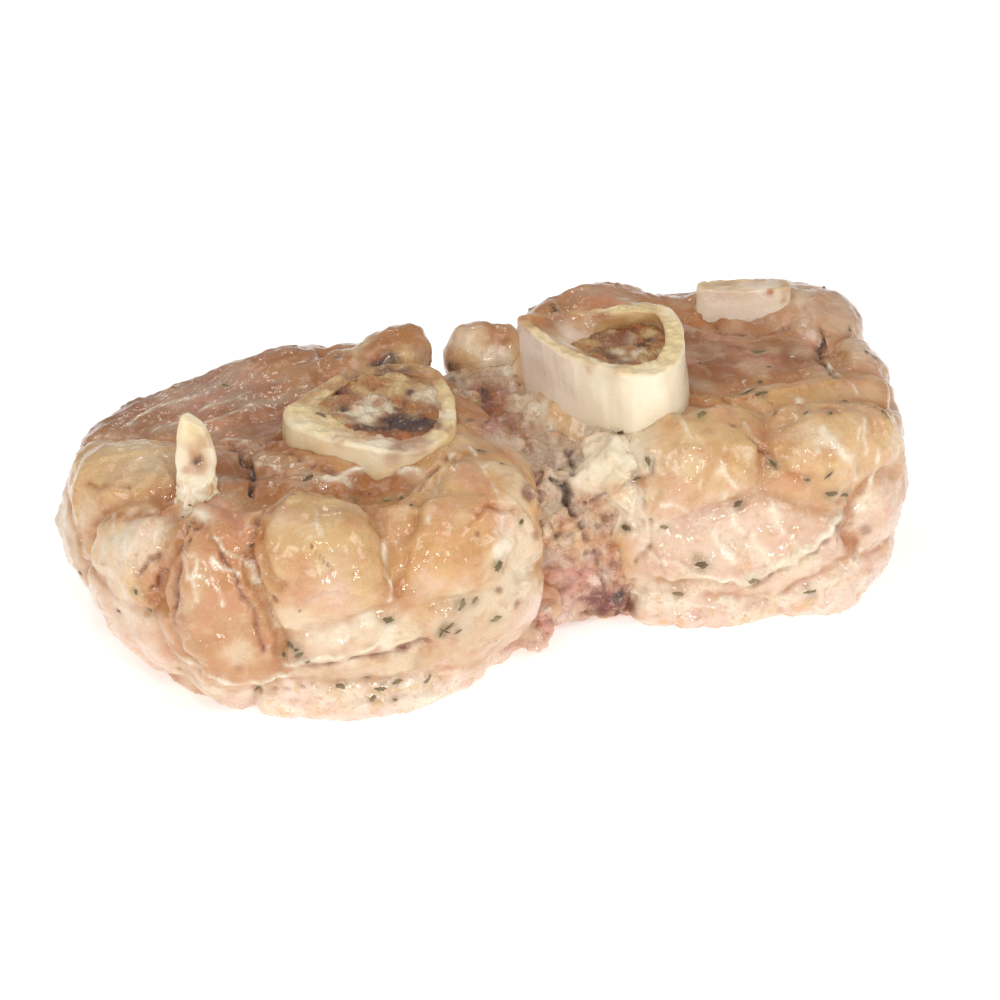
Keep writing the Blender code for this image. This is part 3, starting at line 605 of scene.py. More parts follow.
# Up the sliver: share of its length, of its width and of its thickness.
SLIVER_PROFILE = (
    (0.0, 0.85, 0.9), (0.2, 1.05, 1.3), (0.4, 1.15, 1.35), (0.52, 1.0, 1.05), (0.62, 0.9, 0.9),
    (0.7, 1.0, 0.85), (0.82, 0.95, 0.75), (0.94, 0.76, 0.55), (1.0, 0.58, 0.4),
)
CRUST_TOP = 47
PLATE_CENTRE, PLATE_TURN = np.array((60.5, 16.5)), math.radians(-19)
PLATE_ALONG = np.array([math.cos(PLATE_TURN), math.sin(PLATE_TURN)])
PLATE_ACROSS = np.array([-math.sin(PLATE_TURN), math.cos(PLATE_TURN)])
PLATE_LENGTH, PLATE_THICKNESS, PLATE_TOP = 20.5, 5.2, 46.6
SMALL_STEPS = 96


def outward_from(offsets, least):
    """The directions of some offsets, with those shorter than the least one fading out."""
    return offsets / np.maximum(np.linalg.norm(offsets, axis=1), least)[:, None]


def make_sliver(material):
    across = np.array([math.cos(SLIVER_TURN), math.sin(SLIVER_TURN), 0.0])
    through = np.array([-math.sin(SLIVER_TURN), math.cos(SLIVER_TURN), 0.35])
    shares, widths, depths = np.array(SLIVER_PROFILE).T
    angles = np.linspace(0, 2 * math.pi, SMALL_STEPS, endpoint=False)
    rings, middles = [], []
    levels = [(share, 1.0) for share in np.linspace(0, 1, 80)]
    levels += [(1.0, shrink) for shrink in (0.75, 0.45, 0.1)]
    for share, shrink in levels:
        middle = SLIVER_FOOT + (SLIVER_TIP - SLIVER_FOOT) * share
        side = np.cos(angles) * SLIVER_WIDTH / 2 * np.interp(share, shares, widths) * shrink
        face = np.sin(angles) * SLIVER_THICKNESS / 2 * np.interp(share, shares, depths) * shrink
        fall = np.clip(share - 0.7, 0, 1) * np.maximum(side + 1, 0) * 2.4
        rings.append(middle + np.outer(side, across) + np.outer(face, through) - np.outer(fall, (0, 0, 1)))
        middles.append(np.tile(middle, (SMALL_STEPS, 1)))
    points, middles = np.concatenate(rings), np.concatenate(middles)
    crumbly = np.clip((CRUST_TOP - points[:, 2] + swell(points, 4, 30)) / 3, 0, 1)
    crust = 0.5 * np.abs(swell(points, 2.6, 32)) + 0.25 * swell(points, 1.3, 33)
    relief = 0.2 * swell(points, 5, 31) + crumbly * crust
    points += outward_from(points - middles, 0.5) * relief[:, None]
    mesh = mesh_of("sliver_bone", points, ring_faces(len(rings), SMALL_STEPS, closed=False))
    tints = np.tile(colour("ivory"), (len(points), 1))
    lay_on(tints, crumbly * np.clip(0.5 + 0.5 * swell(points, 3, 34), 0, 0.8), "old ivory")
    keep_tints(mesh, tints)
    paint_spots(mesh, surface_of(mesh), SLIVER_SPOTS)
    show_piece("left_small_bone_dressed", mesh, material, ["left_small_bone"])
    return mesh


SLIVER_SPOTS = (
    ("old ivory", 195, 445, 3, 0.5), ("amber", 195, 452, 2.2, 0.45), ("amber", 198, 464, 2, 0.6),
    ("scorch", 197, 461, 0.7, 0.9), ("rust", 201, 458, 0.6, 0.7), ("ivory", 200, 480, 2, 0.6),
    ("amber", 199, 505, 0.8, 0.6), ("amber", 178, 486, 0.9, 0.5), ("sponge", 205, 492, 1.2, 0.5),
    ("amber", 212, 488, 0.8, 0.5), ("amber", 186, 470, 0.9, 0.5), ("bone pink", 190, 498, 2, 0.4),
    ("ivory", 180, 450, 1.6, 0.5), ("old ivory", 185, 425, 2.5, 0.5), ("sponge", 204, 440, 1.4, 0.5),
)


def make_plate(material):
    angles = np.linspace(0, 2 * math.pi, SMALL_STEPS, endpoint=False)
    side = np.copysign(np.abs(np.cos(angles)) ** 0.4, np.cos(angles)) * PLATE_LENGTH / 2
    face = np.copysign(np.abs(np.sin(angles)) ** 0.5, np.sin(angles)) * PLATE_THICKNESS / 2
    rings = [(1.0, height, 0.0) for height in np.linspace(0, PLATE_TOP - 0.5, 60)]
    rings.append((0.98, PLATE_TOP - 0.15, 1.0))
    rings += [(shrink, PLATE_TOP, 1.0) for shrink in (0.93, 0.85, 0.7, 0.5, 0.3, 0.05)]
    points, sawn = [], []
    for shrink, height, on_face in rings:
        flat = PLATE_CENTRE + np.outer(side * shrink, PLATE_ALONG) + np.outer(face * shrink, PLATE_ACROSS)
        points.append(np.column_stack([flat, np.full(SMALL_STEPS, height)]))
        sawn.append(np.full(SMALL_STEPS, on_face))
    points, sawn = np.concatenate(points), np.concatenate(sawn)
    offsets = np.column_stack([points[:, :2] - PLATE_CENTRE, np.zeros(len(points))])
    relief = 0.15 * swell(points, 7, 41) + 0.08 * swell(points, 2, 42)
    points += outward_from(offsets, 1) * (relief * (1 - sawn))[:, None]
    points[:, 2] += sawn * (0.25 * swell(points, 4, 43) + 0.1 * swell(points, 1.5, 44))
    points[:, 2] = np.maximum(points[:, 2], 0.0)
    mesh = mesh_of("plate_bone", points, ring_faces(len(rings), SMALL_STEPS, closed=False))
    tints = np.tile(colour("ivory"), (len(points), 1))
    lay_on(tints, sawn * 0.7, "old ivory")
    lay_on(tints, np.clip((42 - points[:, 2]) / 5, 0, 1) * 0.6, "bone pink")
    keep_tints(mesh, tints)
    paint_spots(mesh, surface_of(mesh), PLATE_SPOTS)
    show_piece("right_small_bone_dressed", mesh, material, ["right_small_bone"])
    return mesh


PLATE_SPOTS = (
    ("amber", 735, 284, 2.6, 0.6), ("rust", 778, 282, 2.4, 0.5), ("bone pink", 765, 283, 3, 0.6),
    ("sponge", 720, 286, 3, 0.6), ("amber", 757, 280, 2, 0.5), ("bone pink", 720, 306, 4, 0.7),
    ("sponge", 788, 287, 1.6, 0.6), ("bone pink", 755, 308, 4, 0.6), ("amber", 783, 300, 0.8, 0.5),
    ("amber", 748, 292, 0.7, 0.7), ("amber", 770, 292, 0.8, 0.8), ("amber", 706, 285, 1.2, 0.4),
)
sliver_mesh = make_sliver(bone_finish)
plate_mesh = make_plate(bone_finish)

# The meat: two thick slices sawn across a pork shank, each a bundle of muscles in their thin skins with fat
# between them. The long cooking drew them into lobes, loosened their seams and left them wet with juices.
SLICE_HEIGHT = 42.0
TABLE_REACH = 0.3
SKIN_VOXEL, SKIN_ROUNDS = 0.56, 24
OUTLINE_STEPS = 240
BONE_OVERLAP, DROP_IN_BONE, LIFT_IN_BONE, FAT_CREEP = 0.8, 10.0, 4.0, 1.4
PUFF_WIDTH, SOFT_PUFF_WIDTH, CREASE_DEPTH, CREASE_WIDTH = 6.0, 8.0, 0.9, 1.6
SWELL_HEIGHT, SWELL_LENGTH = 0.5, 16.0
TINTS |= {
    "tan": (220, 172, 110), "pale tan": (222, 182, 126), "warm tan": (202, 148, 98),
    "light brown": (182, 120, 62), "brown": (150, 88, 40), "rosy": (212, 144, 108),
    "muted rosy": (212, 176, 144), "pink": (212, 150, 136), "pale pink": (238, 210, 194),
    "fat": (234, 212, 178), "white fat": (245, 232, 206), "gel": (198, 172, 148), "film": (180, 144, 122),
    "rosy white": (232, 198, 174), "soft fat": (222, 192, 154), "blood": (118, 44, 40),
}
# Up a slice's wall: share of the height, how far the outline is the belly's and not the base's, share of the
# radius.
WALL_PROFILE = (
    (0.0, 0.0, 0.5), (0.0, 0.0, 0.94), (0.012, 0.0, 0.98), (0.05, 0.1, 1.0), (0.12, 0.3, 1.0),
    (0.3, 0.8, 1.0), (0.5, 1.0, 1.0), (0.68, 1.0, 0.985), (0.82, 1.0, 0.955), (0.91, 1.0, 0.915),
    (0.965, 1.0, 0.865), (0.99, 1.0, 0.8), (1.0, 1.0, 0.7), (1.0, 1.0, 0.4),
)
# Each slice: its outlines, the bumps of its top (x, y, radius, height), the lumps that stand out of it
# (middle, half sizes, turn), and its muscles (middle, half sizes, turn, bulge and colour).
LEFT_SLICE = {
    "centre": (-46.0, -4.0),
    "belly": (
        (-93, 5), (-92, -10), (-87, -23), (-74, -36), (-56, -44), (-38, -47), (-20, -45), (-6, -36),
        (-1.5, -20), (-2, 0), (-6, 16), (-13, 30), (-27, 40), (-44, 41), (-62, 39), (-80, 34), (-91, 20),
    ),
    "base": (
        (-85, 6), (-84, -8), (-80, -21), (-71, -33), (-57, -42), (-38, -46), (-21, -41), (-8, -31), (-3, -18),
        (-2, 0), (-6, 15), (-13, 28), (-26, 37), (-44, 38), (-60, 33), (-72, 26), (-80, 17),
    ),
    "top": ((-82, 22, 14, -2.5), (-60, 22, 14, -4), (-30, 28, 12, 0), (-38, -29, 5, -2)),
    "lumps": (
        ((-7, -34, 3.5), (5, 4, 3), 30), ((-5, -31, 8), (5, 4, 5), 0),
        ((-20.5, 19.5, 41.5), (9.5, 6.5, 5.8), 15), ((-18, 22, 45.5), (6, 2.5, 1.6), 12),
        ((-30, 20, 41), (7, 6, 3.6), 20),
    ),
    "seed": 11,
    "muscles": {
        "back": ((-54, 24, 38), (28, 13, 12), 8, 1.0, "brown"),
        "far_left": ((-84, 2, 34), (14, 13, 16), 10, 3.0, "pale tan"),
        "left": ((-88, -15, 30), (12, 10, 10), 0, 2.5, "pale tan"),
        "left_low": ((-88, -12, 12), (12, 14, 12), 0, 1.0, "rosy white"),
        "front_drop": ((-74, -35, 25), (10, 10, 19), -5, 4.0, "warm tan"),
        "front_ball": ((-55, -38, 36), (13, 12, 13), 0, 4.5, "pale tan"),
        "by_small_bone": ((-65, -14, 42), (6, 9, 6), 15, 1.5, "brown"),
        "strip": ((-52, -16, 42), (12, 5, 6), -25, 1.5, "light brown"),
        "hollow": ((-39, -27, 42), (8, 5, 5), -15, -2.0, "light brown"),
        "front_right": ((-24, -37, 36), (15, 13, 15), -25, 3.0, "tan"),
        "fat_right": ((-22, -44, 16), (16, 9, 10), 0, 1.5, "soft fat"),
        "fat_middle": ((-48, -47, 17), (15, 8, 8), 0, 1.0, "soft fat"),
        "fat_base": ((-47, -46, 3), (30, 9, 7), 0, 1.5, "pale pink"),
        "behind_bone": ((-22, 24, 43), (13, 12, 9), -20, 1.0, "light brown"),
        "inner_front": ((0, -20, 22), (8, 13, 16), 0, 0.5, "pale tan"),
        "inner_back": ((-2, 8, 28), (8, 12, 16), 0, 0.5, "light brown"),
        "rear_middle": ((-44, 43, 18), (18, 8, 14), 0, 2.5, "warm tan"),
        "rear_left": ((-75, 33, 16), (16, 9, 14), 30, 2.5, "muted rosy"),
        "rear_right": ((-14, 33, 18), (12, 10, 14), -30, 2.0, "pale tan"),
        "end_left": ((-92, 14, 18), (8, 13, 14), 0, 2.0, "soft fat"),
        "under_left": ((-68, -8, 0), (14, 16, 8), 0, 1.0, "tan"),
        "under_front": ((-38, -30, 0), (18, 12, 8), 0, 1.0, "pale pink"),
        "under_back": ((-55, 24, 0), (18, 12, 8), 0, 1.0, "light brown"),
        "under_right": ((-12, 4, 0), (10, 18, 8), 0, 1.0, "rosy"),
    },
}
RIGHT_SLICE = {
    "centre": (45.0, -3.0),
    "belly": (
        (2.5, -8), (7, -22), (18, -34), (38, -41), (56, -44), (67, -43), (76, -35), (81, -18), (85, 2),
        (86, 18), (77, 31), (61, 36), (44, 39), (28, 39), (15, 35), (7, 26), (2.5, 8),
    ),
    "base": (
        (5, -8), (10, -22), (18, -35), (37, -41), (54, -43), (63, -41), (69, -33), (74, -16), (76, 2),
        (76, 16), (69, 26), (58, 32), (44, 36), (28, 36), (17, 32), (9, 23), (5, 8),
    ),
    "top": ((30, 34, 9, 1), (56, 34, 8, -3), (50, 0, 10, -2), (9, -17, 5, -7)),
    "lumps": (((1.5, 24, 35.5), (6.4, 7, 9), 0), ((7, 22, 38), (4.5, 6, 6), 0), ((12, -27, 4), (5, 5, 4), 0)),
    "seed": 12,
    "muscles": {
        "back": ((29, 32, 42), (17, 9, 10), -5, 2.5, "light brown"),
        "back_dip": ((51, 30, 38), (7, 8, 8), 0, 0.5, "light brown"),
        "dark": ((50, -5, 40), (14, 11, 8), 0, 0.5, "brown"),
        "strip": ((58, -21, 41), (20, 5, 6), -8, 1.5, "tan"),
        "back_right": ((78, 13, 40), (10, 14, 12), 0, 2.0, "muted rosy"),
        "shoulder": ((81, -12, 30), (8, 14, 18), 0, 1.5, "rosy white"),
        "front": ((26, -32, 38), (17, 10, 13), 0, 3.5, "pale tan"),
        "front_right": ((55, -37, 36), (13, 10, 13), 0, 2.5, "pale tan"),
        "fat_ball": ((12, -27, 34), (8, 8, 9), 0, 2.5, "white fat"),
        "wall": ((36, -41, 18), (22, 8, 12), 0, 2.5, "rosy white"),
        "wedge": ((65, -43, 22), (6, 7, 9), 0, 0.0, "rosy white"),
        "low_right": ((60, -42, 5), (15, 7, 7), 0, 2.0, "pale pink"),
        "base": ((28, -38, 3), (18, 7, 6), 0, 1.5, "pale pink"),
        "inner_low": ((11, -28, 16), (7, 7, 13), 0, 1.5, "pale tan"),
        "inner_front": ((4, -8, 24), (8, 12, 14), 0, 0.5, "pale tan"),
        "inner_back": ((6, 22, 26), (8, 12, 14), 0, 1.5, "pale tan"),
        "rear_middle": ((44, 42, 18), (18, 8, 15), 0, 2.5, "warm tan"),
        "rear_right": ((74, 30, 18), (13, 9, 14), -30, 2.5, "soft fat"),
        "end_low": ((80, 4, 10), (8, 18, 8), 0, 1.5, "soft fat"),
        "under_left": ((22, -10, 0), (12, 18, 8), 0, 1.0, "rosy"),
        "under_right": ((60, -12, 0), (14, 18, 8), 0, 1.0, "pale pink"),
        "under_back": ((42, 22, 0), (20, 12, 8), 0, 1.0, "light brown"),
    },
}


def top_height(x, y, bumps):
    height = np.full(np.shape(x), SLICE_HEIGHT)
    for bump_x, bump_y, radius, rise in bumps:
        height += rise * np.exp(-((x - bump_x) ** 2 + (y - bump_y) ** 2) / (2 * radius ** 2))
    return height


def add_balls(mesh, balls, subdivisions):
    """Adds round lumps to a mesh, each a middle, half sizes in mm and a turn in degrees."""
    bm = bmesh.new()
    bm.from_mesh(mesh)
    for middle, half_sizes, turn in balls:
        place = Matrix.Translation(Vector(to_row(middle)))
        sizes = Matrix.Diagonal((*(Vector(half_sizes) * MM), 1.0))
        form = Matrix.Rotation(math.radians(turn), 4, "Z") @ sizes
        bmesh.ops.create_icosphere(bm, subdivisions=subdivisions, radius=1.0, matrix=place @ form)
    bmesh.ops.recalc_face_normals(bm, faces=bm.faces)
    bm.to_mesh(mesh)
    bm.free()


def slice_block(shape):
    """The plain round block that a slice is before its muscles bulge, with its lumps."""
    centre = np.array(shape["centre"])
    angles = np.linspace(-math.pi, math.pi, OUTLINE_STEPS, endpoint=False)
    spokes = np.stack([np.cos(angles), np.sin(angles)], axis=1)
    wide, narrow = (radii_about(centre, shape[key], angles) for key in ("belly", "base"))
    rings = []
    for height_share, belly_share, radius_share in WALL_PROFILE:
        radii = radius_share * (narrow + (wide - narrow) * belly_share)
        flat = centre + spokes * radii[:, None]
        rings.append(np.column_stack([flat, height_share * top_height(flat[:, 0], flat[:, 1], shape["top"])]))
    mesh = mesh_of("block", np.concatenate(rings), ring_faces(len(rings), OUTLINE_STEPS, closed=False))
    add_balls(mesh, shape["lumps"], 4)
    return mesh


def fine_skin(mesh, voxel, rounds):
    """Overlapping closed shapes as one even skin of small faces."""
    rough = add_to_scene("rough_skin", mesh)
    fuse = rough.modifiers.new("fuse", "REMESH")
    fuse.mode = "VOXEL"
    fuse.voxel_size = voxel * MM
    soften = rough.modifiers.new("soften", "SMOOTH")
    soften.factor = 0.5
    soften.iterations = rounds
    graph = bpy.context.evaluated_depsgraph_get()
    skin = bpy.data.meshes.new_from_object(rough.evaluated_get(graph), depsgraph=graph)
    bpy.data.objects.remove(rough)
    return skin


def muscle_seams(points, muscles):
    """For each point, its muscle and the next one, and its distance in mm to the seam between them."""
    reach, slope = [], []
    for middle, half_sizes, turn, *_ in muscles.values():
        c, s = math.cos(math.radians(turn)), math.sin(math.radians(turn))
        to_muscle = np.array([[c, s, 0], [-s, c, 0], [0, 0, 1]]) / np.array(half_sizes)[:, None]
        local = (points - np.array(middle)) @ to_muscle.T
        distance = np.maximum(np.linalg.norm(local, axis=1), 1e-6)
        reach.append(distance)
        slope.append((local / distance[:, None]) @ to_muscle)
    reach, slope = np.array(reach), np.array(slope)
    order = np.argsort(reach, axis=0)
    rows = np.arange(len(points))
    own, other = order[0], order[1]
    steepness = np.linalg.norm(slope[other, rows] - slope[own, rows], axis=1)
    return own, other, (reach[other, rows] - reach[own, rows]) / np.maximum(steepness, 1e-6)


def set_points(mesh, points):
    mesh.vertices.foreach_set("co", to_row(points).ravel())
    mesh.update()


def set_on_table(mesh, points):
    """Moves a skin's points, and lays flat on the table those that come close to it."""
    points[points[:, 2] < TABLE_REACH, 2] = 0.0
    set_points(mesh, points)


def path_distance(points, path):
    """Distance in mm from each point to a path of straight runs."""
    nearest = np.full(len(points), np.inf)
    for start, end in zip(path, path[1:]):
        run = end - start
        share = np.clip((points - start) @ run / max(run @ run, 1e-9), 0, 1)
        nearest = np.minimum(nearest, np.linalg.norm(points - start - np.outer(share, run), axis=1))
    return nearest


def beside_bone(points, side):
    """Distance in mm outside a marrow bone's wall, negative inside it."""
    shape = BONES[side]
    centre = np.array(shape["cavity"], float).mean(axis=0)
    offsets = points[:, :2] - centre - np.outer(1 - points[:, 2] / shape["top"], shape["foot"])
    angles = np.arctan2(offsets[:, 1], offsets[:, 0])
    return np.hypot(offsets[:, 0], offsets[:, 1]) - radii_about(centre, shape["outline"], angles)


def beside_plate(points):
    """Distance in mm outside the right small bone's wall, negative inside it."""
    offsets = points[:, :2] - PLATE_CENTRE
    beyond_end = np.abs(offsets @ PLATE_ALONG) - PLATE_LENGTH / 2
    beyond_face = np.abs(offsets @ PLATE_ACROSS) - PLATE_THICKNESS / 2
    return np.maximum(beyond_end, beyond_face)


def sink_under_bone(points, outside):
    """Draws the meat back from where a bone stands in it, and lets its fat creep up the bone's wall."""
    within = np.clip((-outside - BONE_OVERLAP) / BONE_OVERLAP, 0, 1)
    upper = points[:, 2] > SLICE_HEIGHT / 2
    points[:, 2] -= np.where(upper, DROP_IN_BONE, -LIFT_IN_BONE) * within
    creep = np.exp(-np.maximum(outside, 0) / FAT_CREEP) * (outside > -1.2) * upper
    points[:, 2] += creep * (0.3 + 0.4 * swell(points, 5, 51))


# What each kind of line on the meat and the jelly is: its colour, strength and relief in mm. The near-black
# of a crack is painted shade in its groove; the seam, crease and furrow colours are browned juices with
# painted crease shade. Vein and tendon lines are pale fat and tissue, and a few of them are painted
# highlights.
LINE_KINDS = {
    "crack": ("crevice shade", 1.0, -2.2), "seam": ("rust", 0.8, -0.9), "crease": ("amber", 0.6, -0.6),
    "slit": ("brown", 0.9, -0.5), "vein_and_glint": ("white fat", 0.75, 0.1), "tendon_and_glint": ("white fat", 1.0, 0.35),
    "froth": ("white fat", 0.95, 0.7), "furrow": ("light brown", 0.55, -1.1),
}
# Each line: its kind, half its width in mm and the photo pixels it runs through.
LEFT_LINES = (
    ("furrow", 1.4, ((276, 584), (262, 562), (256, 532), (262, 503), (290, 489), (330, 489), (356, 500))),
    ("furrow", 1.2, ((356, 500), (376, 525), (388, 556), (390, 582))),
    ("furrow", 1.3, ((402, 588), (404, 545), (420, 505), (440, 480), (468, 452))),
    ("furrow", 1.2, ((192, 519), (174, 550), (163, 590), (168, 625), (195, 668))),
    ("furrow", 1.4, ((215, 536), (248, 566), (262, 594), (280, 632), (284, 660))),
    ("crack", 0.8, ((236, 447), (243, 459), (249, 470), (253, 480), (252, 493))),
    ("slit", 0.25, ((310, 544), (322, 557), (335, 571))),
    ("seam", 0.6, ((190, 443), (218, 444), (249, 446), (270, 442), (283, 434))),
    # The next pale line is a painted highlight, a glint along the edge of the dark seam.
    ("vein_and_glint", 0.35, ((222, 441), (240, 439), (255, 442))),
    ("vein_and_glint", 0.4, ((126, 424), (150, 410), (182, 399), (208, 392))),
    ("vein_and_glint", 0.3, ((200, 412), (216, 403), (236, 399), (250, 392))),
    ("vein_and_glint", 0.3, ((205, 424), (222, 416), (244, 410))),
    ("vein_and_glint", 0.3, ((150, 432), (170, 424), (192, 416))),
    ("slit", 0.35, ((214, 409), (228, 412), (240, 408))),
    ("vein_and_glint", 0.35, ((92, 441), (120, 438), (150, 444), (174, 450))),
    ("seam", 0.6, ((286, 452), (306, 462), (336, 474), (366, 486), (396, 490), (424, 478), (448, 456))),
    ("seam", 0.5, ((200, 522), (186, 545), (176, 575), (172, 605), (176, 632), (188, 656))),
    ("seam", 0.5, ((204, 524), (222, 552), (240, 586), (254, 620), (262, 652))),
    ("seam", 0.5, ((262, 508), (252, 530), (250, 556), (258, 580), (276, 600))),
    ("froth", 0.5, ((165, 640), (184, 658), (208, 674), (236, 684), (262, 680), (290, 676))),
    ("vein_and_glint", 0.35, ((196, 560), (192, 580), (198, 600))),
    ("vein_and_glint", 0.35, ((212, 556), (224, 570), (240, 578))),
    ("crease", 1.0, ((250, 560), (256, 540), (262, 522), (275, 505), (292, 495), (320, 488), (345, 492))),
    ("crease", 0.9, ((350, 492), (375, 486), (400, 494), (412, 490))),
    ("crease", 0.9, ((192, 519), (182, 534), (174, 550), (166, 560))),
    ("seam", 0.5, ((160, 556), (146, 562), (142, 572), (149, 590), (156, 588), (163, 570))),
    ("crease", 1.1, ((172, 490), (166, 505), (157, 513), (130, 512), (112, 517), (97, 527))),
    ("crease", 0.6, ((66, 478), (90, 485), (107, 488), (125, 486))),
    ("vein_and_glint", 0.3, ((184, 554), (188, 578), (182, 596))),
    ("vein_and_glint", 0.35, ((188, 578), (199, 578), (211, 583), (219, 591), (225, 605))),
    (
        "tendon_and_glint", 0.4,
        ((214, 534), (225, 547), (237, 555), (248, 565), (255, 578), (263, 594), (270, 607), (280, 632)),
    ),
    ("vein_and_glint", 0.3, ((313, 502), (318, 520), (318, 533), (308, 541))),
    ("vein_and_glint", 0.3, ((254, 462), (277, 467), (299, 471), (322, 474))),
    ("tendon_and_glint", 0.5, ((385, 545), (388, 575), (393, 600))),
    ("tendon_and_glint", 0.5, ((284, 664), (328, 656), (370, 648), (404, 632))),
    ("vein_and_glint", 0.35, ((470, 447), (484, 470), (500, 500), (502, 530))),
    ("vein_and_glint", 0.35, ((455, 452), (438, 480), (428, 520), (432, 560))),
    ("crease", 0.5, ((436, 466), (428, 478), (420, 492))),
    ("froth", 0.7, ((318, 481), (345, 478), (366, 470), (384, 466), (417, 472))),
    ("crease", 0.7, ((470, 520), (490, 506), (516, 512))),
    ("seam", 0.5, ((300, 668), (345, 662), (392, 650), (430, 640))),
    ("crease", 0.6, ((180, 670), (215, 685), (262, 690), (300, 684))),
)
RIGHT_LINES = (
    ("froth", 0.8, ((838, 522), (818, 540), (792, 556), (764, 570), (742, 582))),
    ("seam", 0.5, ((742, 588), (772, 577), (800, 562), (826, 544), (842, 528))),
    ("seam", 0.45, ((640, 500), (652, 520), (648, 545), (634, 562))),
    ("vein_and_glint", 0.7, ((664, 500), (690, 512), (712, 516))),
    ("vein_and_glint", 0.8, ((722, 494), (731, 512), (742, 530))),
    ("vein_and_glint", 0.7, ((752, 536), (764, 552), (772, 566))),
    ("vein_and_glint", 0.6, ((640, 548), (668, 566), (700, 574))),
    ("vein_and_glint", 0.6, ((700, 440), (720, 470), (738, 488))),
    ("furrow", 0.9, ((628, 588), (660, 580), (700, 586), (742, 584))),
    ("vein_and_glint", 0.5, ((800, 402), (812, 425), (818, 450))),
    ("seam", 0.5, ((702, 318), (724, 326), (752, 327), (786, 326))),
    ("crack", 0.9, ((822, 327), (820, 342), (818, 356))),
    ("crack", 0.6, ((818, 356), (828, 366), (838, 377))),
    ("furrow", 1.6, ((828, 330), (838, 352), (850, 376))),
    ("crack", 0.5, ((552, 305), (556, 310), (560, 316))),
    ("seam", 0.45, ((732, 423), (745, 432), (759, 444), (768, 458))),
    ("crease", 1.0, ((762, 452), (782, 465), (799, 477), (812, 480))),
    ("seam", 0.55, ((650, 458), (650, 470), (642, 480), (628, 486), (612, 484))),
    ("crease", 0.7, ((598, 440), (608, 426), (628, 416), (650, 412))),
    ("slit", 0.35, ((614, 431), (620, 422), (632, 415))),
    ("tendon_and_glint", 1.0, ((771, 507), (780, 523), (793, 541))),
    ("tendon_and_glint", 0.9, ((712, 532), (724, 545), (733, 560))),
    ("vein_and_glint", 0.35, ((740, 528), (748, 542), (752, 556))),
    ("tendon_and_glint", 1.0, ((838, 522), (815, 545), (798, 562), (775, 572))),
    ("tendon_and_glint", 0.8, ((775, 572), (740, 584), (700, 576))),
    ("vein_and_glint", 0.5, ((650, 560), (690, 572), (740, 584))),
    ("tendon_and_glint", 0.6, ((632, 590), (672, 602), (730, 604), (790, 596))),
    # The next two pale lines are painted highlights, glints on the right end of the slice.
    ("tendon_and_glint", 0.8, ((824, 428), (836, 450), (854, 472))),
    ("vein_and_glint", 0.35, ((862, 418), (864, 440), (867, 456))),
    ("tendon_and_glint", 0.7, ((878, 452), (872, 480), (862, 505), (860, 552))),
    ("crease", 0.8, ((838, 500), (850, 512), (848, 535), (858, 556))),
    ("vein_and_glint", 0.3, ((678, 418), (690, 436), (702, 462), (700, 490))),
    ("vein_and_glint", 0.3, ((733, 400), (745, 425), (760, 470))),
    ("crease", 0.6, ((690, 398), (724, 398), (760, 398), (800, 404), (842, 412))),
    ("seam", 0.5, ((604, 540), (612, 552), (616, 572), (622, 584))),
    ("vein_and_glint", 0.35, ((826, 356), (836, 372), (856, 392))),
)
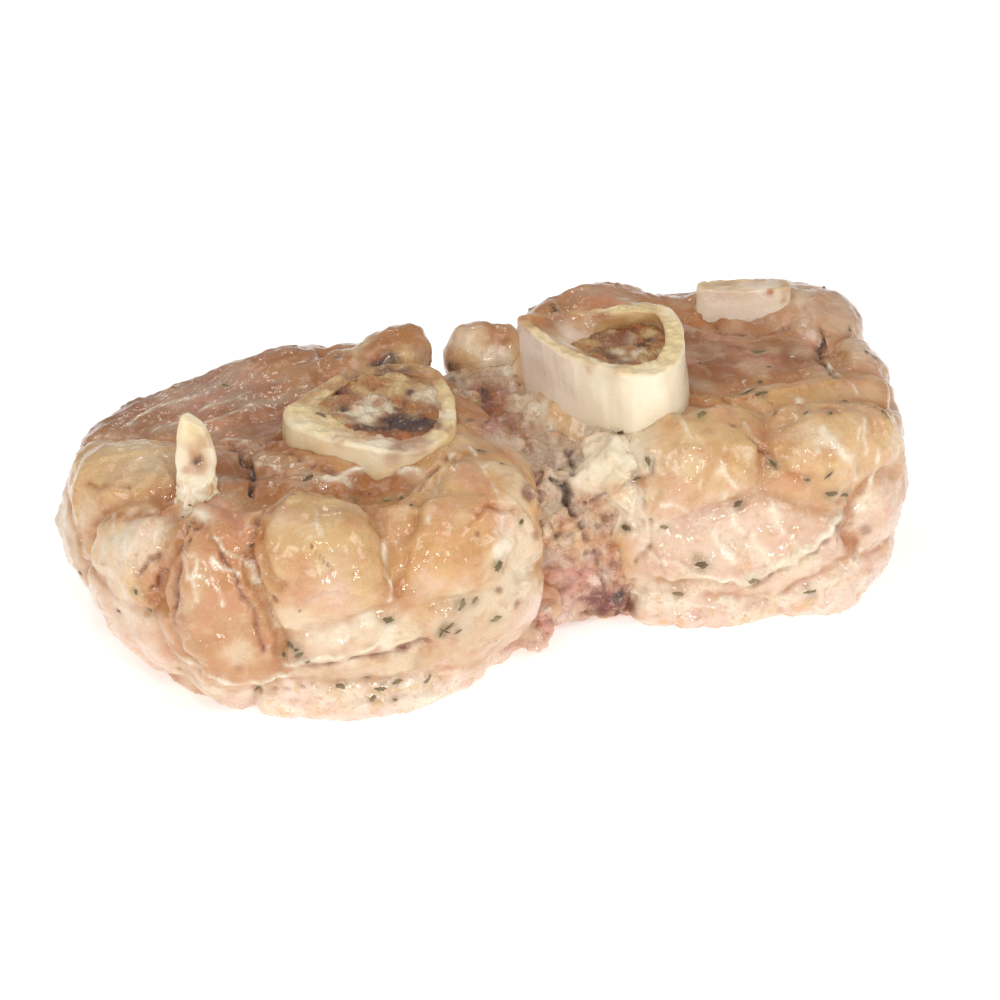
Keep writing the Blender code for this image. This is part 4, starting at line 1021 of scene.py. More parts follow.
# Each spot: its colour, photo pixel, radius in mm and strength, the later ones on top.
# The crevice spots are painted shade in gaps and cracks.
LEFT_SPOTS = (
    ("white fat", 187, 511, 1.8, 0.9), ("white fat", 201, 513, 1.8, 0.9), ("fat", 194, 520, 1.6, 0.8),
    ("film", 225, 396, 3, 0.5), ("rosy", 258, 380, 5, 0.4), ("crevice shade", 300, 462, 0.5, 0.6),
    ("pink", 200, 405, 4, 0.4), ("rosy", 225, 425, 4, 0.5), ("film", 170, 398, 5, 0.5),
    ("film", 205, 380, 4, 0.5), ("film", 130, 425, 4, 0.5), ("film", 240, 374, 4, 0.4),
    ("gel", 205, 390, 2.5, 0.5), ("rust", 228, 414, 1.6, 0.4), ("gel", 248, 400, 3, 0.4),
    ("light brown", 290, 368, 6, 0.6), ("gel", 215, 405, 1.8, 0.5), ("light brown", 320, 350, 4, 0.5),
    ("old ivory", 380, 330, 3, 0.6), ("light brown", 335, 360, 3, 0.4), ("old ivory", 360, 345, 3.5, 0.6),
    ("amber", 380, 352, 4, 0.5), ("brown", 395, 346, 4, 0.4), ("crevice shade", 393, 366, 1.8, 0.9),
    ("scorch", 380, 368, 2.2, 0.9), ("scorch", 392, 358, 1.0, 0.9), ("rust", 331, 352, 1.6, 0.9),
    ("amber", 345, 358, 1.6, 0.8), ("old ivory", 410, 362, 3, 0.6), ("film", 425, 362, 2.5, 0.6),
    ("crevice shade", 334, 356, 0.8, 0.8), ("rosy", 232, 520, 3.5, 0.8), ("rosy", 240, 540, 2.5, 0.5),
    ("brown", 226, 465, 4, 0.4), ("film", 250, 444, 2, 0.3), ("light brown", 168, 470, 3, 0.5),
    ("amber", 173, 492, 2.0, 0.6), ("amber", 165, 508, 1.8, 0.5), ("warm tan", 110, 497, 6, 0.6),
    ("rosy", 115, 502, 4, 0.35), ("fat", 130, 537, 5, 0.7), ("white fat", 122, 545, 3, 0.6),
    ("pale pink", 140, 527, 3.5, 0.5), ("white fat", 160, 530, 2, 0.5), ("fat", 105, 565, 5, 0.6),
    ("white fat", 125, 600, 3, 0.4), ("pale pink", 120, 562, 3, 0.4), ("rosy", 152, 572, 2, 0.5),
    ("rosy", 215, 548, 3, 0.4), ("rosy", 225, 602, 4, 0.4), ("fat", 180, 642, 3, 0.4),
    ("fat", 240, 655, 3, 0.5), ("fat", 160, 625, 2.5, 0.4), ("amber", 262, 522, 1.8, 0.4),
    ("amber", 276, 506, 1.5, 0.3), ("rosy", 320, 604, 4, 0.45), ("rosy", 290, 600, 3, 0.4),
    ("fat", 285, 622, 3, 0.5), ("amber", 395, 482, 4, 0.6), ("amber", 372, 486, 4, 0.5),
    ("brown", 365, 492, 3, 0.5), ("amber", 300, 478, 3, 0.3), ("amber", 430, 470, 3, 0.3),
    ("tan", 450, 500, 8, 0.5), ("amber", 470, 455, 4, 0.25), ("rust", 350, 493, 1.6, 0.4),
    ("pale tan", 340, 468, 2.5, 0.3), ("rosy", 470, 480, 4, 0.55), ("rosy", 445, 520, 5, 0.4),
    ("amber", 515, 511, 1.4, 0.5), ("rosy", 492, 512, 3, 0.4), ("fat", 420, 482, 3, 0.3),
    ("pale tan", 440, 482, 3, 0.5), ("fat", 500, 466, 2.5, 0.5), ("fat", 512, 500, 3, 0.6),
    ("fat", 520, 480, 3.5, 0.6), ("white fat", 504, 545, 2.4, 0.9), ("fat", 525, 540, 4, 0.8),
    ("pale pink", 505, 522, 2.5, 0.4), ("fat", 510, 590, 5, 0.8), ("white fat", 518, 575, 2.6, 0.7),
    ("fat", 470, 600, 5, 0.7), ("pale pink", 530, 620, 4, 0.7), ("pink", 546, 600, 3, 0.5),
    ("rust", 517, 604, 0.9, 0.8), ("rust", 499, 590, 0.8, 0.8), ("rust", 477, 533, 0.5, 0.8),
    ("rust", 528, 493, 1.2, 0.5), ("white fat", 345, 630, 3.5, 0.7), ("white fat", 320, 640, 3, 0.6),
    ("fat", 300, 622, 3, 0.6), ("fat", 400, 640, 5, 0.6), ("pale pink", 430, 585, 3, 0.4),
    ("white fat", 385, 640, 2, 0.6), ("amber", 430, 646, 1.2, 0.5), ("amber", 340, 655, 1.5, 0.35),
    ("light brown", 270, 668, 2.5, 0.35), ("pink", 235, 697, 2, 0.4), ("rosy", 445, 667, 1.5, 0.5),
    ("white fat", 410, 705, 4, 0.4), ("white fat", 280, 706, 4, 0.5), ("gel", 290, 655, 2.6, 0.5),
    ("gel", 460, 635, 3, 0.4), ("gel", 345, 680, 3, 0.35), ("gel", 385, 690, 3, 0.45),
    ("gel", 465, 608, 3, 0.35), ("amber", 350, 618, 1.4, 0.5), ("amber", 395, 622, 1.4, 0.45),
    ("amber", 372, 648, 1.2, 0.5), ("tan", 330, 600, 3, 0.5), ("tan", 420, 610, 3, 0.5),
    ("light brown", 385, 660, 1.6, 0.5), ("amber", 452, 640, 1.4, 0.5), ("tan", 440, 560, 4, 0.4),
    ("white fat", 420, 692, 4, 0.5), ("fat", 345, 700, 4, 0.6), ("white fat", 368, 618, 1.6, 0.8),
    ("white fat", 392, 628, 1.6, 0.8), ("white fat", 350, 660, 2, 0.6), ("pale pink", 300, 694, 3, 0.6),
    ("rosy", 270, 640, 2.4, 0.4), ("amber", 480, 560, 1.6, 0.3), ("light brown", 84, 452, 3, 0.4),
    ("amber", 92, 484, 1.4, 0.5), ("pale tan", 130, 468, 8, 0.5), ("fat", 150, 456, 5, 0.4),
    ("pale tan", 95, 462, 5, 0.5), ("fat", 212, 690, 4, 0.8), ("fat", 185, 674, 4, 0.6),
    ("pale pink", 240, 706, 4, 0.7), ("white fat", 255, 690, 2.4, 0.6), ("amber", 198, 528, 1.2, 0.5),
    ("amber", 172, 565, 1.4, 0.4), ("amber", 262, 640, 1.6, 0.4), ("rust", 240, 668, 0.9, 0.4),
    ("pale pink", 330, 596, 4, 0.5), ("rosy", 300, 575, 3, 0.4), ("pale tan", 300, 540, 6, 0.4),
    ("brown", 268, 470, 2.5, 0.5), ("brown", 240, 476, 2.5, 0.5), ("amber", 222, 455, 2, 0.4),
)
RIGHT_SPOTS = (
    ("rosy", 600, 300, 5, 0.5), ("rosy", 570, 292, 3, 0.4), ("amber", 690, 302, 2, 0.5),
    ("film", 665, 293, 4, 0.7), ("film", 690, 294, 2.5, 0.6), ("brown", 702, 345, 5, 0.7),
    ("brown", 705, 366, 4, 0.7), ("rosy", 745, 362, 3.5, 0.4), ("rosy", 720, 335, 3, 0.3),
    ("light brown", 755, 343, 4, 0.5), ("fat", 770, 350, 2, 0.25), ("rust", 740, 346, 1.2, 0.4),
    ("rosy", 768, 366, 3, 0.4), ("amber", 720, 396, 2, 0.3), ("rosy", 725, 407, 3, 0.4),
    ("amber", 850, 402, 3, 0.35), ("amber", 692, 402, 2.5, 0.35), ("film", 880, 370, 4, 0.4),
    ("film", 860, 320, 4, 0.5), ("film", 840, 298, 3, 0.5), ("amber", 815, 298, 2, 0.4),
    ("rosy", 812, 342, 2, 0.6), ("pale pink", 811, 335, 1.5, 0.5), ("pale tan", 845, 352, 4, 0.5),
    ("rosy", 850, 382, 3, 0.4), ("fat", 895, 442, 3, 0.5), ("gel", 900, 420, 3, 0.4),
    ("fat", 862, 432, 2, 0.4), ("white fat", 850, 457, 1.5, 0.5), ("white fat", 830, 437, 1.8, 0.6),
    ("rosy", 870, 412, 2.5, 0.3), ("fat", 645, 425, 3, 0.4), ("fat", 590, 432, 2.5, 0.7),
    ("light brown", 640, 420, 2, 0.3), ("fat", 630, 455, 3, 0.7), ("white fat", 622, 500, 4, 0.9),
    ("white fat", 612, 516, 3, 0.8), ("amber", 642, 479, 1.6, 0.5), ("rosy", 760, 430, 4, 0.25),
    ("amber", 766, 461, 1.5, 0.4), ("rosy", 790, 482, 3, 0.3), ("pale pink", 700, 522, 6, 0.5),
    ("pink", 660, 552, 5, 0.4), ("white fat", 640, 522, 5, 0.7), ("pink", 690, 520, 4, 0.25),
    ("white fat", 650, 592, 5, 0.6), ("pink", 640, 576, 2.5, 0.3), ("pink", 740, 602, 6, 0.35),
    ("rosy", 680, 502, 4, 0.25), ("fat", 840, 582, 4, 0.6), ("pale pink", 830, 602, 4, 0.6),
    ("fat", 800, 560, 4, 0.6), ("fat", 478, 345, 5, 0.5), ("fat", 690, 560, 7, 0.4),
    ("fat", 760, 610, 7, 0.4), ("light brown", 848, 556, 2, 0.4), ("amber", 700, 612, 1.6, 0.35),
    ("amber", 848, 520, 1.5, 0.4), ("gel", 845, 512, 3, 0.5), ("rust", 868, 532, 1.2, 0.6),
    ("fat", 876, 500, 2, 0.6), ("light brown", 853, 541, 1.6, 0.5), ("rosy", 870, 562, 2, 0.4),
    ("white fat", 488, 357, 2.2, 0.7), ("white fat", 502, 354, 1.8, 0.6), ("rosy", 452, 350, 2, 0.4),
    ("light brown", 500, 328, 3, 0.6), ("amber", 503, 346, 1.4, 0.6), ("fat", 470, 345, 2.5, 0.5),
    ("amber", 488, 326, 3, 0.5), ("fat", 460, 332, 3, 0.5), ("light brown", 498, 336, 3, 0.6),
    ("white fat", 494, 362, 2.6, 0.7), ("rust", 775, 413, 0.6, 0.9),
)
# Thin wrinkled skin drawn tight over the slices' edges: photo pixel, radius in mm and turn of its wrinkles.
LEFT_FILMS = ((170, 396, 7, 37), (215, 378, 7, 37), (125, 425, 6, 37), (250, 368, 5, 30))
RIGHT_FILMS = (
    (880, 360, 7, -76), (862, 328, 7, -60), (665, 293, 5, 10), (898, 430, 6, -80), (700, 294, 4, 10),
)
WRINKLE_LENGTH, WRINKLE_HEIGHT = 1.9, 0.16
# Hollows in the skins: photo pixel, radius and depth in mm.
LEFT_DENTS = (
    (252, 470, 3.0, 1.8), (370, 488, 5.0, 1.5), (130, 505, 5.0, 1.0), (165, 500, 3.0, 1.4),
    (330, 352, 2.0, 2.0),
)
RIGHT_DENTS = (
    (750, 322, 9.0, 2.2), (825, 350, 4.0, 1.5), (850, 530, 6.0, 1.6), (572, 500, 3.0, 1.5),
    (770, 465, 4.0, 1.0), (612, 602, 3.0, 2.5),
)


def near_place(points, middle, radius):
    """1 in the middle and fading to 0 past the radius."""
    return np.exp(-((np.linalg.norm(points - middle, axis=1) / radius) ** 2))


def draw_lines(points, tints, tree, lines):
    """Colours the lines on a skin's tints, and returns how far they raise or sink the skin in mm."""
    relief = np.zeros(len(points))
    rough = wander(points, 5, 61)
    patchy = 1.2 + 0.3 * swell(points, 4, 53)
    bubbly = 1 + 0.5 * swell(points, 1.9, 58)
    for kind, width, pixels in lines:
        tint, strength, rise = LINE_KINDS[kind]
        path = np.array([seen_at(tree, *pixel) for pixel in pixels])
        near = np.exp(-((path_distance(points + rough * min(width, 0.6), path) / width) ** 2))
        lay_on(tints, np.clip(strength * patchy * near, 0, 1), tint)
        relief += rise * near * (bubbly if kind == "froth" else 1)
    return relief


def make_slice(name, shape, lines, spots, films, dents, material):
    skin = fine_skin(slice_block(shape), SKIN_VOXEL, SKIN_ROUNDS)
    points, normals = points_of(skin)
    own, other, seam = muscle_seams(points, shape["muscles"])
    rises = np.array([muscle[3] for muscle in shape["muscles"].values()])[own]
    # Where the skin is tight it dips sharply to the seams; elsewhere the muscles run softly together.
    tight = np.clip(0.55 + 0.45 * swell(points, 22, shape["seed"] + 40), 0.1, 1)
    puff = tight * (1 - np.exp(-seam / PUFF_WIDTH))
    puff += (1 - tight) * (1 - np.exp(-(seam / SOFT_PUFF_WIDTH) ** 2))
    moved = rises * puff - CREASE_DEPTH * (0.15 + tight) * np.exp(-(seam / CREASE_WIDTH) ** 2)
    moved += SWELL_HEIGHT * swell(points, SWELL_LENGTH, shape["seed"])
    points += normals * moved[:, None]
    set_on_table(skin, points)

    tree = surface_of(skin)
    paint = np.array([colour(muscle[4]) for muscle in shape["muscles"].values()])
    bleed = (0.5 * np.exp(-np.maximum(seam + 1.2 * swell(points, 5, 60), 0) / 2.2))[:, None]
    tints = paint[own] * (1 - bleed) + paint[other] * bleed
    # The fat is the pale part, and has a grain of its own.
    grain = np.clip((tints[:, 1] - 0.5) / 0.12, 0, 1)
    lay_on(tints, patches(points, 11, 65, 0.4) * (1 - grain), "fat")
    lay_on(tints, patches(points, 9, 66, 0.4) * (1 - grain), "light brown")
    lay_on(tints, patches(points, 7, 67, 0.3), "rosy")
    lay_on(tints, grain * np.clip(0.5 * swell(points, 6, 68) - 0.2, 0, 0.5), "tan")
    lay_on(tints, grain * patches(points, 9, 69, 0.4), "white fat")
    # Browning along the seams together with painted crease shade: amber in the seam itself, strongest where
    # the skin dips sharply, and light brown fading over 4 mm beside it on the lean.
    browned_and_crease_shade = 0.85 * np.exp(-((seam / 0.9) ** 2))
    lay_on(tints, browned_and_crease_shade * np.clip(tight + 0.3 * swell(points, 6, 64), 0, 1), "amber")
    lay_on(tints, 0.45 * np.exp(-seam / 4) * (1 - grain), "light brown")
    keep_tints(skin, tints)
    paint_spots(skin, tree, spots)

    tints = kept_tints(skin)
    relief = 0.22 * swell(points, 7, 54) + 0.10 * swell(points, 2.8, 55)
    relief += grain * (0.3 * np.abs(swell(points, 6, 56)) + 0.09 * swell(points, 2.2, 57))
    relief += draw_lines(points, tints, tree, lines)
    for across, down, radius, depth in dents:
        relief -= depth * near_place(points, seen_at(tree, across, down), radius)
    for across, down, radius, turn in films:
        near = near_place(points, seen_at(tree, across, down), radius)
        angle = math.radians(turn)
        run = points @ np.array([-math.sin(angle), math.cos(angle), 0.5]) + 0.8 * swell(points, 9, 59)
        relief += WRINKLE_HEIGHT * near * np.sin(run * 2 * math.pi / WRINKLE_LENGTH)
    keep_tints(skin, tints)
    keep_mask(skin, "grain", grain)
    points, normals = points_of(skin)
    points += normals * relief[:, None]
    for side in BONES:
        sink_under_bone(points, beside_bone(points, side))
    sink_under_bone(points, beside_plate(points))
    set_on_table(skin, points)
    show_piece(name + "_dressed", skin, material, [name])
    return skin


pork_finish = finish(
    "cooked_pork",
    marks=(
        (3.0, 0.52, 0.7, 0.22, "fat", None), (3.4, 0.54, 0.72, 0.28, "light brown", None),
        (8, 0.5, 0.7, 0.2, "rosy", None), (4.5, 0.5, 0.62, 0.5, "white fat", "grain"),
        (3.2, 0.54, 0.64, 0.5, "tan", "grain"), (1.2, 0.58, 0.68, 0.4, "light brown", "grain"),
        (0.7, 0.68, 0.74, 0.6, "brown", "grain"),
    ),
    threads=((14, 0.008, 0.3, "fat", None), (7, 0.012, 0.25, "light brown", None)),
    grains=((4, 0.6), (1.3, 0.34), (0.6, 0.1)), wet_grain=(4.6, 0.34), rough=(0.34, 0.55),
    sink=(0.15, (1.0, 0.65, 0.45), 2.0), shine=(0.9, 0.05),
)
left_skin = make_slice("left_meat", LEFT_SLICE, LEFT_LINES, LEFT_SPOTS, LEFT_FILMS, LEFT_DENTS, pork_finish)
right_skin = make_slice(
    "right_meat", RIGHT_SLICE, RIGHT_LINES, RIGHT_SPOTS, RIGHT_FILMS, RIGHT_DENTS, pork_finish,
)

# The jelly: cooking juices, fat and shreds of meat that set between the slices and hold them together. It
# follows both slices' walls, with crumbs of browned tissue on top and pink meat lower down.
JELLY_FRONT, JELLY_BACK, JELLY_BOTTOM, JELLY_TOP = (-31.0, -26.0), 18.0, 2.0, (34.0, 38.0)
JELLY_STEPS = (36, 30)
JELLY_BITE = 1.2
JELLY_VOXEL, JELLY_ROUNDS = 0.5, 4
JELLY_LIFT = 0.1
PINK_BELOW, GEL_ABOVE = 24, 20
WALL_PROBE = 100.0
FAT_LUMP, FAT_LUMP_RADIUS = (605, 464), 9.5
# Lumps of tissue in it: photo pixel and radius in mm.
CRUMBS = (
    (483, 389, 2.4), (472, 399, 2.2), (486, 411, 2.2), (496, 410, 1.8), (491, 427, 2.4), (500, 438, 2.4),
    (516, 427, 2.0), (527, 424, 1.8), (521, 404, 2.6), (537, 412, 2.8), (529, 420, 2.2), (549, 427, 1.8),
    (532, 398, 2.2), (516, 389, 2.2), (509, 371, 2.0), (459, 382, 2.2), (460, 395, 2.0), (583, 499, 2.0),
    (597, 505, 2.2), (606, 516, 1.8), (581, 515, 1.6), (606, 534, 1.6), (615, 550, 1.6), (615, 567, 1.4),
    (585, 455, 3.6), (600, 448, 4.4), (614, 460, 4.4), (598, 470, 4.6), (587, 480, 3.4), (620, 448, 3.4),
    (628, 462, 3.2), (610, 480, 3.6), (596, 490, 2.8), (560, 541, 3.0), (566, 522, 2.4), (549, 518, 2.4),
    (542, 530, 2.4), (551, 570, 3.4), (567, 592, 3.0), (583, 573, 2.4), (595, 580, 2.0), (563, 610, 3.0),
    (540, 608, 3.2), (528, 493, 2.0), (537, 500, 2.4), (545, 480, 3.0), (556, 462, 3.2), (530, 452, 3.2),
    (512, 446, 2.6), (552, 440, 2.6), (545, 626, 2.6),
)
JELLY_LINES = (
    ("crack", 0.5, ((569, 450), (571, 463), (574, 475))),
    ("crack", 0.6, ((551, 477), (560, 485), (566, 493), (567, 503), (572, 512), (583, 526))),
    ("seam", 0.7, ((583, 526), (592, 545), (600, 565), (604, 588))),
    ("seam", 0.6, ((584, 500), (604, 497), (624, 490), (640, 478), (647, 464))),
    ("seam", 0.6, ((538, 470), (540, 500), (536, 530), (544, 560), (540, 590))),
    ("crease", 0.8, ((500, 395), (512, 412), (522, 432), (530, 450))),
    ("seam", 0.6, ((448, 372), (462, 388), (470, 405), (478, 425))),
    ("crack", 0.5, ((586, 612), (606, 614), (630, 612), (652, 614))),
)
# The crevice spots are painted shade in the jelly's cracks and gaps.
JELLY_SPOTS = (
    ("white fat", 605, 462, 8, 0.9), ("fat", 600, 446, 4, 0.5), ("fat", 590, 490, 3, 0.8),
    ("old ivory", 618, 470, 3, 0.4), ("fat", 585, 457, 3, 0.6), ("white fat", 628, 455, 2.4, 0.6),
    ("tan", 610, 486, 2, 0.4), ("amber", 616, 487, 1.4, 0.5), ("amber", 640, 478, 1.6, 0.5),
    ("rust", 500, 400, 4.0, 0.9), ("rust", 490, 390, 3.0, 0.9), ("rust", 496, 418, 3.0, 0.8),
    ("amber", 493, 396, 2.2, 0.7), ("amber", 508, 410, 3.0, 0.8), ("amber", 484, 416, 2.0, 0.7),
    ("amber", 470, 392, 2.4, 0.7), ("crevice shade", 494, 405, 0.9, 0.8), ("crevice shade", 486, 396, 0.7, 0.8),
    ("rust", 512, 418, 1.6, 0.6), ("blood", 484, 403, 1.4, 0.7), ("crevice shade", 507, 411, 0.8, 0.8),
    ("amber", 475, 412, 1.8, 0.6), ("gel", 540, 452, 4.5, 0.9), ("gel", 555, 462, 3.5, 0.9),
    ("gel", 520, 444, 3, 0.8), ("gel", 500, 438, 2.4, 0.7), ("white fat", 509, 371, 2, 0.7),
    ("gel", 459, 382, 2, 0.6), ("amber", 483, 386, 1.8, 0.7), ("crevice shade", 484, 390, 0.7, 0.9),
    ("fat", 472, 399, 1.8, 0.6), ("rust", 486, 411, 1.6, 0.9), ("amber", 496, 410, 1.5, 0.7),
    ("crevice shade", 471, 421, 0.8, 0.8), ("crevice shade", 451, 367, 1.0, 0.9), ("rust", 458, 369, 1.2, 0.6),
    ("pink", 491, 427, 1.8, 0.4), ("brown", 516, 427, 1.4, 0.7), ("brown", 527, 424, 1.3, 0.6),
    ("fat", 521, 402, 2.6, 0.8), ("white fat", 537, 412, 2.4, 0.8), ("fat", 529, 420, 2, 0.7),
    ("white fat", 549, 427, 1.4, 0.8), ("fat", 532, 398, 2, 0.7), ("pale pink", 516, 389, 1.6, 0.6),
    ("rosy", 500, 395, 1.6, 0.5), ("crevice shade", 571, 463, 0.7, 0.9), ("crevice shade", 571, 452, 0.6, 0.8),
    ("crevice shade", 565, 485, 1.0, 0.9), ("crevice shade", 568, 494, 1.0, 0.95), ("crevice shade", 573, 504, 0.7, 0.8),
    ("amber", 583, 499, 1.8, 0.6), ("amber", 597, 505, 1.8, 0.6), ("rust", 606, 517, 1.2, 0.7),
    ("gel", 581, 515, 1.4, 0.6), ("amber", 606, 534, 1.4, 0.7), ("amber", 614, 550, 1.4, 0.7),
    ("rust", 615, 566, 1.1, 0.7), ("rosy", 566, 522, 2, 0.6), ("fat", 549, 518, 2, 0.6),
    ("fat", 560, 550, 2.4, 0.5), ("rust", 528, 493, 1.4, 0.6), ("rust", 537, 536, 0.9, 0.6),
    ("crevice shade", 557, 535, 0.5, 0.8), ("pink", 551, 570, 3.4, 0.6), ("rosy", 545, 575, 2, 0.5),
    ("pink", 567, 590, 2.6, 0.7), ("rust", 563, 588, 0.8, 0.7), ("pink", 585, 573, 2.2, 0.9),
    ("pale pink", 597, 580, 1.4, 0.8), ("blood", 597, 597, 2.6, 0.95), ("blood", 612, 601, 2.6, 0.95),
    ("crevice shade", 618, 598, 1.4, 0.9), ("pink", 588, 590, 1.4, 0.6), ("blood", 632, 608, 2.0, 0.7),
    ("white fat", 530, 560, 3, 0.6), ("gel", 556, 500, 2.6, 0.7), ("gel", 545, 560, 2.6, 0.5),
    ("pale pink", 563, 610, 3, 0.8), ("pale pink", 537, 610, 3, 0.8), ("pink", 545, 628, 2.2, 0.7),
    ("rust", 628, 607, 1.2, 0.6), ("brown", 508, 342, 1.0, 0.7),
)


def wall_at(tree, y, z, direction):
    """The outermost place of a slice's wall along +X or -X."""
    origin = Vector(to_row([-WALL_PROBE * direction, y, z]))
    last = None
    while True:
        place = tree.ray_cast(origin, Vector((direction, 0, 0)))[0]
        if place is None:
            return last
        last = place.x / MM + LAYOUT_MIDDLE[0]
        origin = place + Vector((direction * 1e-5, 0, 0))


def jelly_web():
    """A closed sheet that fills the gap between the two slices' walls."""
    left_tree, right_tree = surface_of(left_skin), surface_of(right_skin)
    rows, columns = JELLY_STEPS
    walls = []
    for i in range(rows):
        for j in range(columns):
            back_share, top_share = i / (rows - 1), j / (columns - 1)
            front = JELLY_FRONT[0] + (JELLY_FRONT[1] - JELLY_FRONT[0]) * top_share ** 2
            top = JELLY_TOP[0] + (JELLY_TOP[1] - JELLY_TOP[0]) * back_share
            y = front + (JELLY_BACK - front) * back_share
            z = JELLY_BOTTOM + (top - JELLY_BOTTOM) * top_share
            walls.append((wall_at(left_tree, y, z, 1.0), wall_at(right_tree, y, z, -1.0), y, z))
    low, high, y, z = np.array(walls).T
    middle, half = (low + high) / 2, np.maximum((high - low) / 2 + JELLY_BITE, 1.2)
    points = np.concatenate([np.column_stack([middle + sign * half, y, z]) for sign in (-1, 1)])
    faces, count = [], rows * columns
    for i in range(rows - 1):
        for j in range(columns - 1):
            a = i * columns + j
            b, c, d = a + 1, a + 1 + columns, a + columns
            faces += [(a, b, c, d), (d + count, c + count, b + count, a + count)]
    border = (
        list(range(columns)) + [i * columns + columns - 1 for i in range(1, rows)]
        + [(rows - 1) * columns + j for j in range(columns - 2, -1, -1)]
        + [i * columns for i in range(rows - 2, 0, -1)]
    )
    faces += [(b, a, a + count, b + count) for a, b in zip(border, border[1:] + border[:1])]
    return mesh_of("jelly_web", points, faces)


def make_jelly(material):
    web = jelly_web()
    seen = surface_of(left_skin, right_skin, web)
    balls = []
    for across, down, radius in CRUMBS:
        middle = seen_at(seen, across, down) - photo_back * radius * 0.45
        balls.append((middle, (radius, radius * 0.85, radius * 0.8), across * 7 % 180))
    add_balls(web, balls, 3)
    mesh = fine_skin(web, JELLY_VOXEL, JELLY_ROUNDS)
    points, normals = points_of(mesh)
    relief = 0.4 * swell(points, 6, 71) + 0.22 * swell(points, 2.6, 72) + 0.14 * swell(points, 1.4, 73)
    points += normals * relief[:, None]
    points[:, 2] = np.maximum(points[:, 2], JELLY_LIFT)
    set_points(mesh, points)
    tints = np.tile(colour("tan"), (len(points), 1))
    lay_on(tints, np.clip((PINK_BELOW - points[:, 2]) / 10, 0, 1) * 0.6, "pink")
    lay_on(tints, np.clip((points[:, 2] - GEL_ABOVE) / 10, 0, 1) * 0.5, "gel")
    lay_on(tints, patches(points, 6, 75, 0.8), "gel")
    lay_on(tints, patches(points, 4, 77, 0.5), "fat")
    lay_on(tints, patches(points, 5, 76, 0.5), "rosy")
    lay_on(tints, np.clip(swell(points, 3, 78) - 0.5, 0, 1) * 0.8, "rust")
    seen = surface_of(left_skin, right_skin, mesh)
    keep_tints(mesh, tints)
    from_fat = np.linalg.norm(points - seen_at(seen, *FAT_LUMP), axis=1)
    keep_mask(mesh, "grain", 1 - np.exp(-((from_fat / FAT_LUMP_RADIUS) ** 4)))
    for piece in (mesh, left_skin, right_skin):
        paint_spots(piece, seen, JELLY_SPOTS)
    tints = kept_tints(mesh)
    points, normals = points_of(mesh)
    points += normals * draw_lines(points, tints, seen, JELLY_LINES)[:, None]
    points[:, 2] = np.maximum(points[:, 2], JELLY_LIFT)
    keep_tints(mesh, tints)
    set_points(mesh, points)
    show_piece("jelly_dressed", mesh, material, ["jelly"])
    return mesh


jelly_finish = finish(
    "set_jelly",
    marks=(
        (1.2, 0.55, 0.68, 0.35, "fat", None), (1.8, 0.55, 0.7, 0.4, "rosy", "grain"),
        (0.9, 0.6, 0.68, 0.5, "brown", "grain"), (1.6, 0.64, 0.7, 0.6, "rust", "grain"),
    ),
    threads=((4, 0.02, 0.25, "white fat", None), (5, 0.02, 0.4, "rust", "grain")),
    grains=((1.6, 0.5), (0.6, 0.25)), wet_grain=(1.1, 0.35), rough=(0.3, 0.5),
    sink=(0.2, (1.0, 0.6, 0.4), 2.0), shine=(1.0, 0.06),
)
jelly_mesh = make_jelly(jelly_finish)

# The herbs: torn flecks of dried leaf from the cooking fat, stuck flat on the meat, the bones and the jelly.
# Each is a thin scrap that follows what it lies on, and its juices stain the meat round it.
TINTS |= {
    "herb": (92, 76, 52), "green herb": (104, 92, 60), "pale herb": (168, 146, 108),
    "herb stain": (140, 116, 78),
}
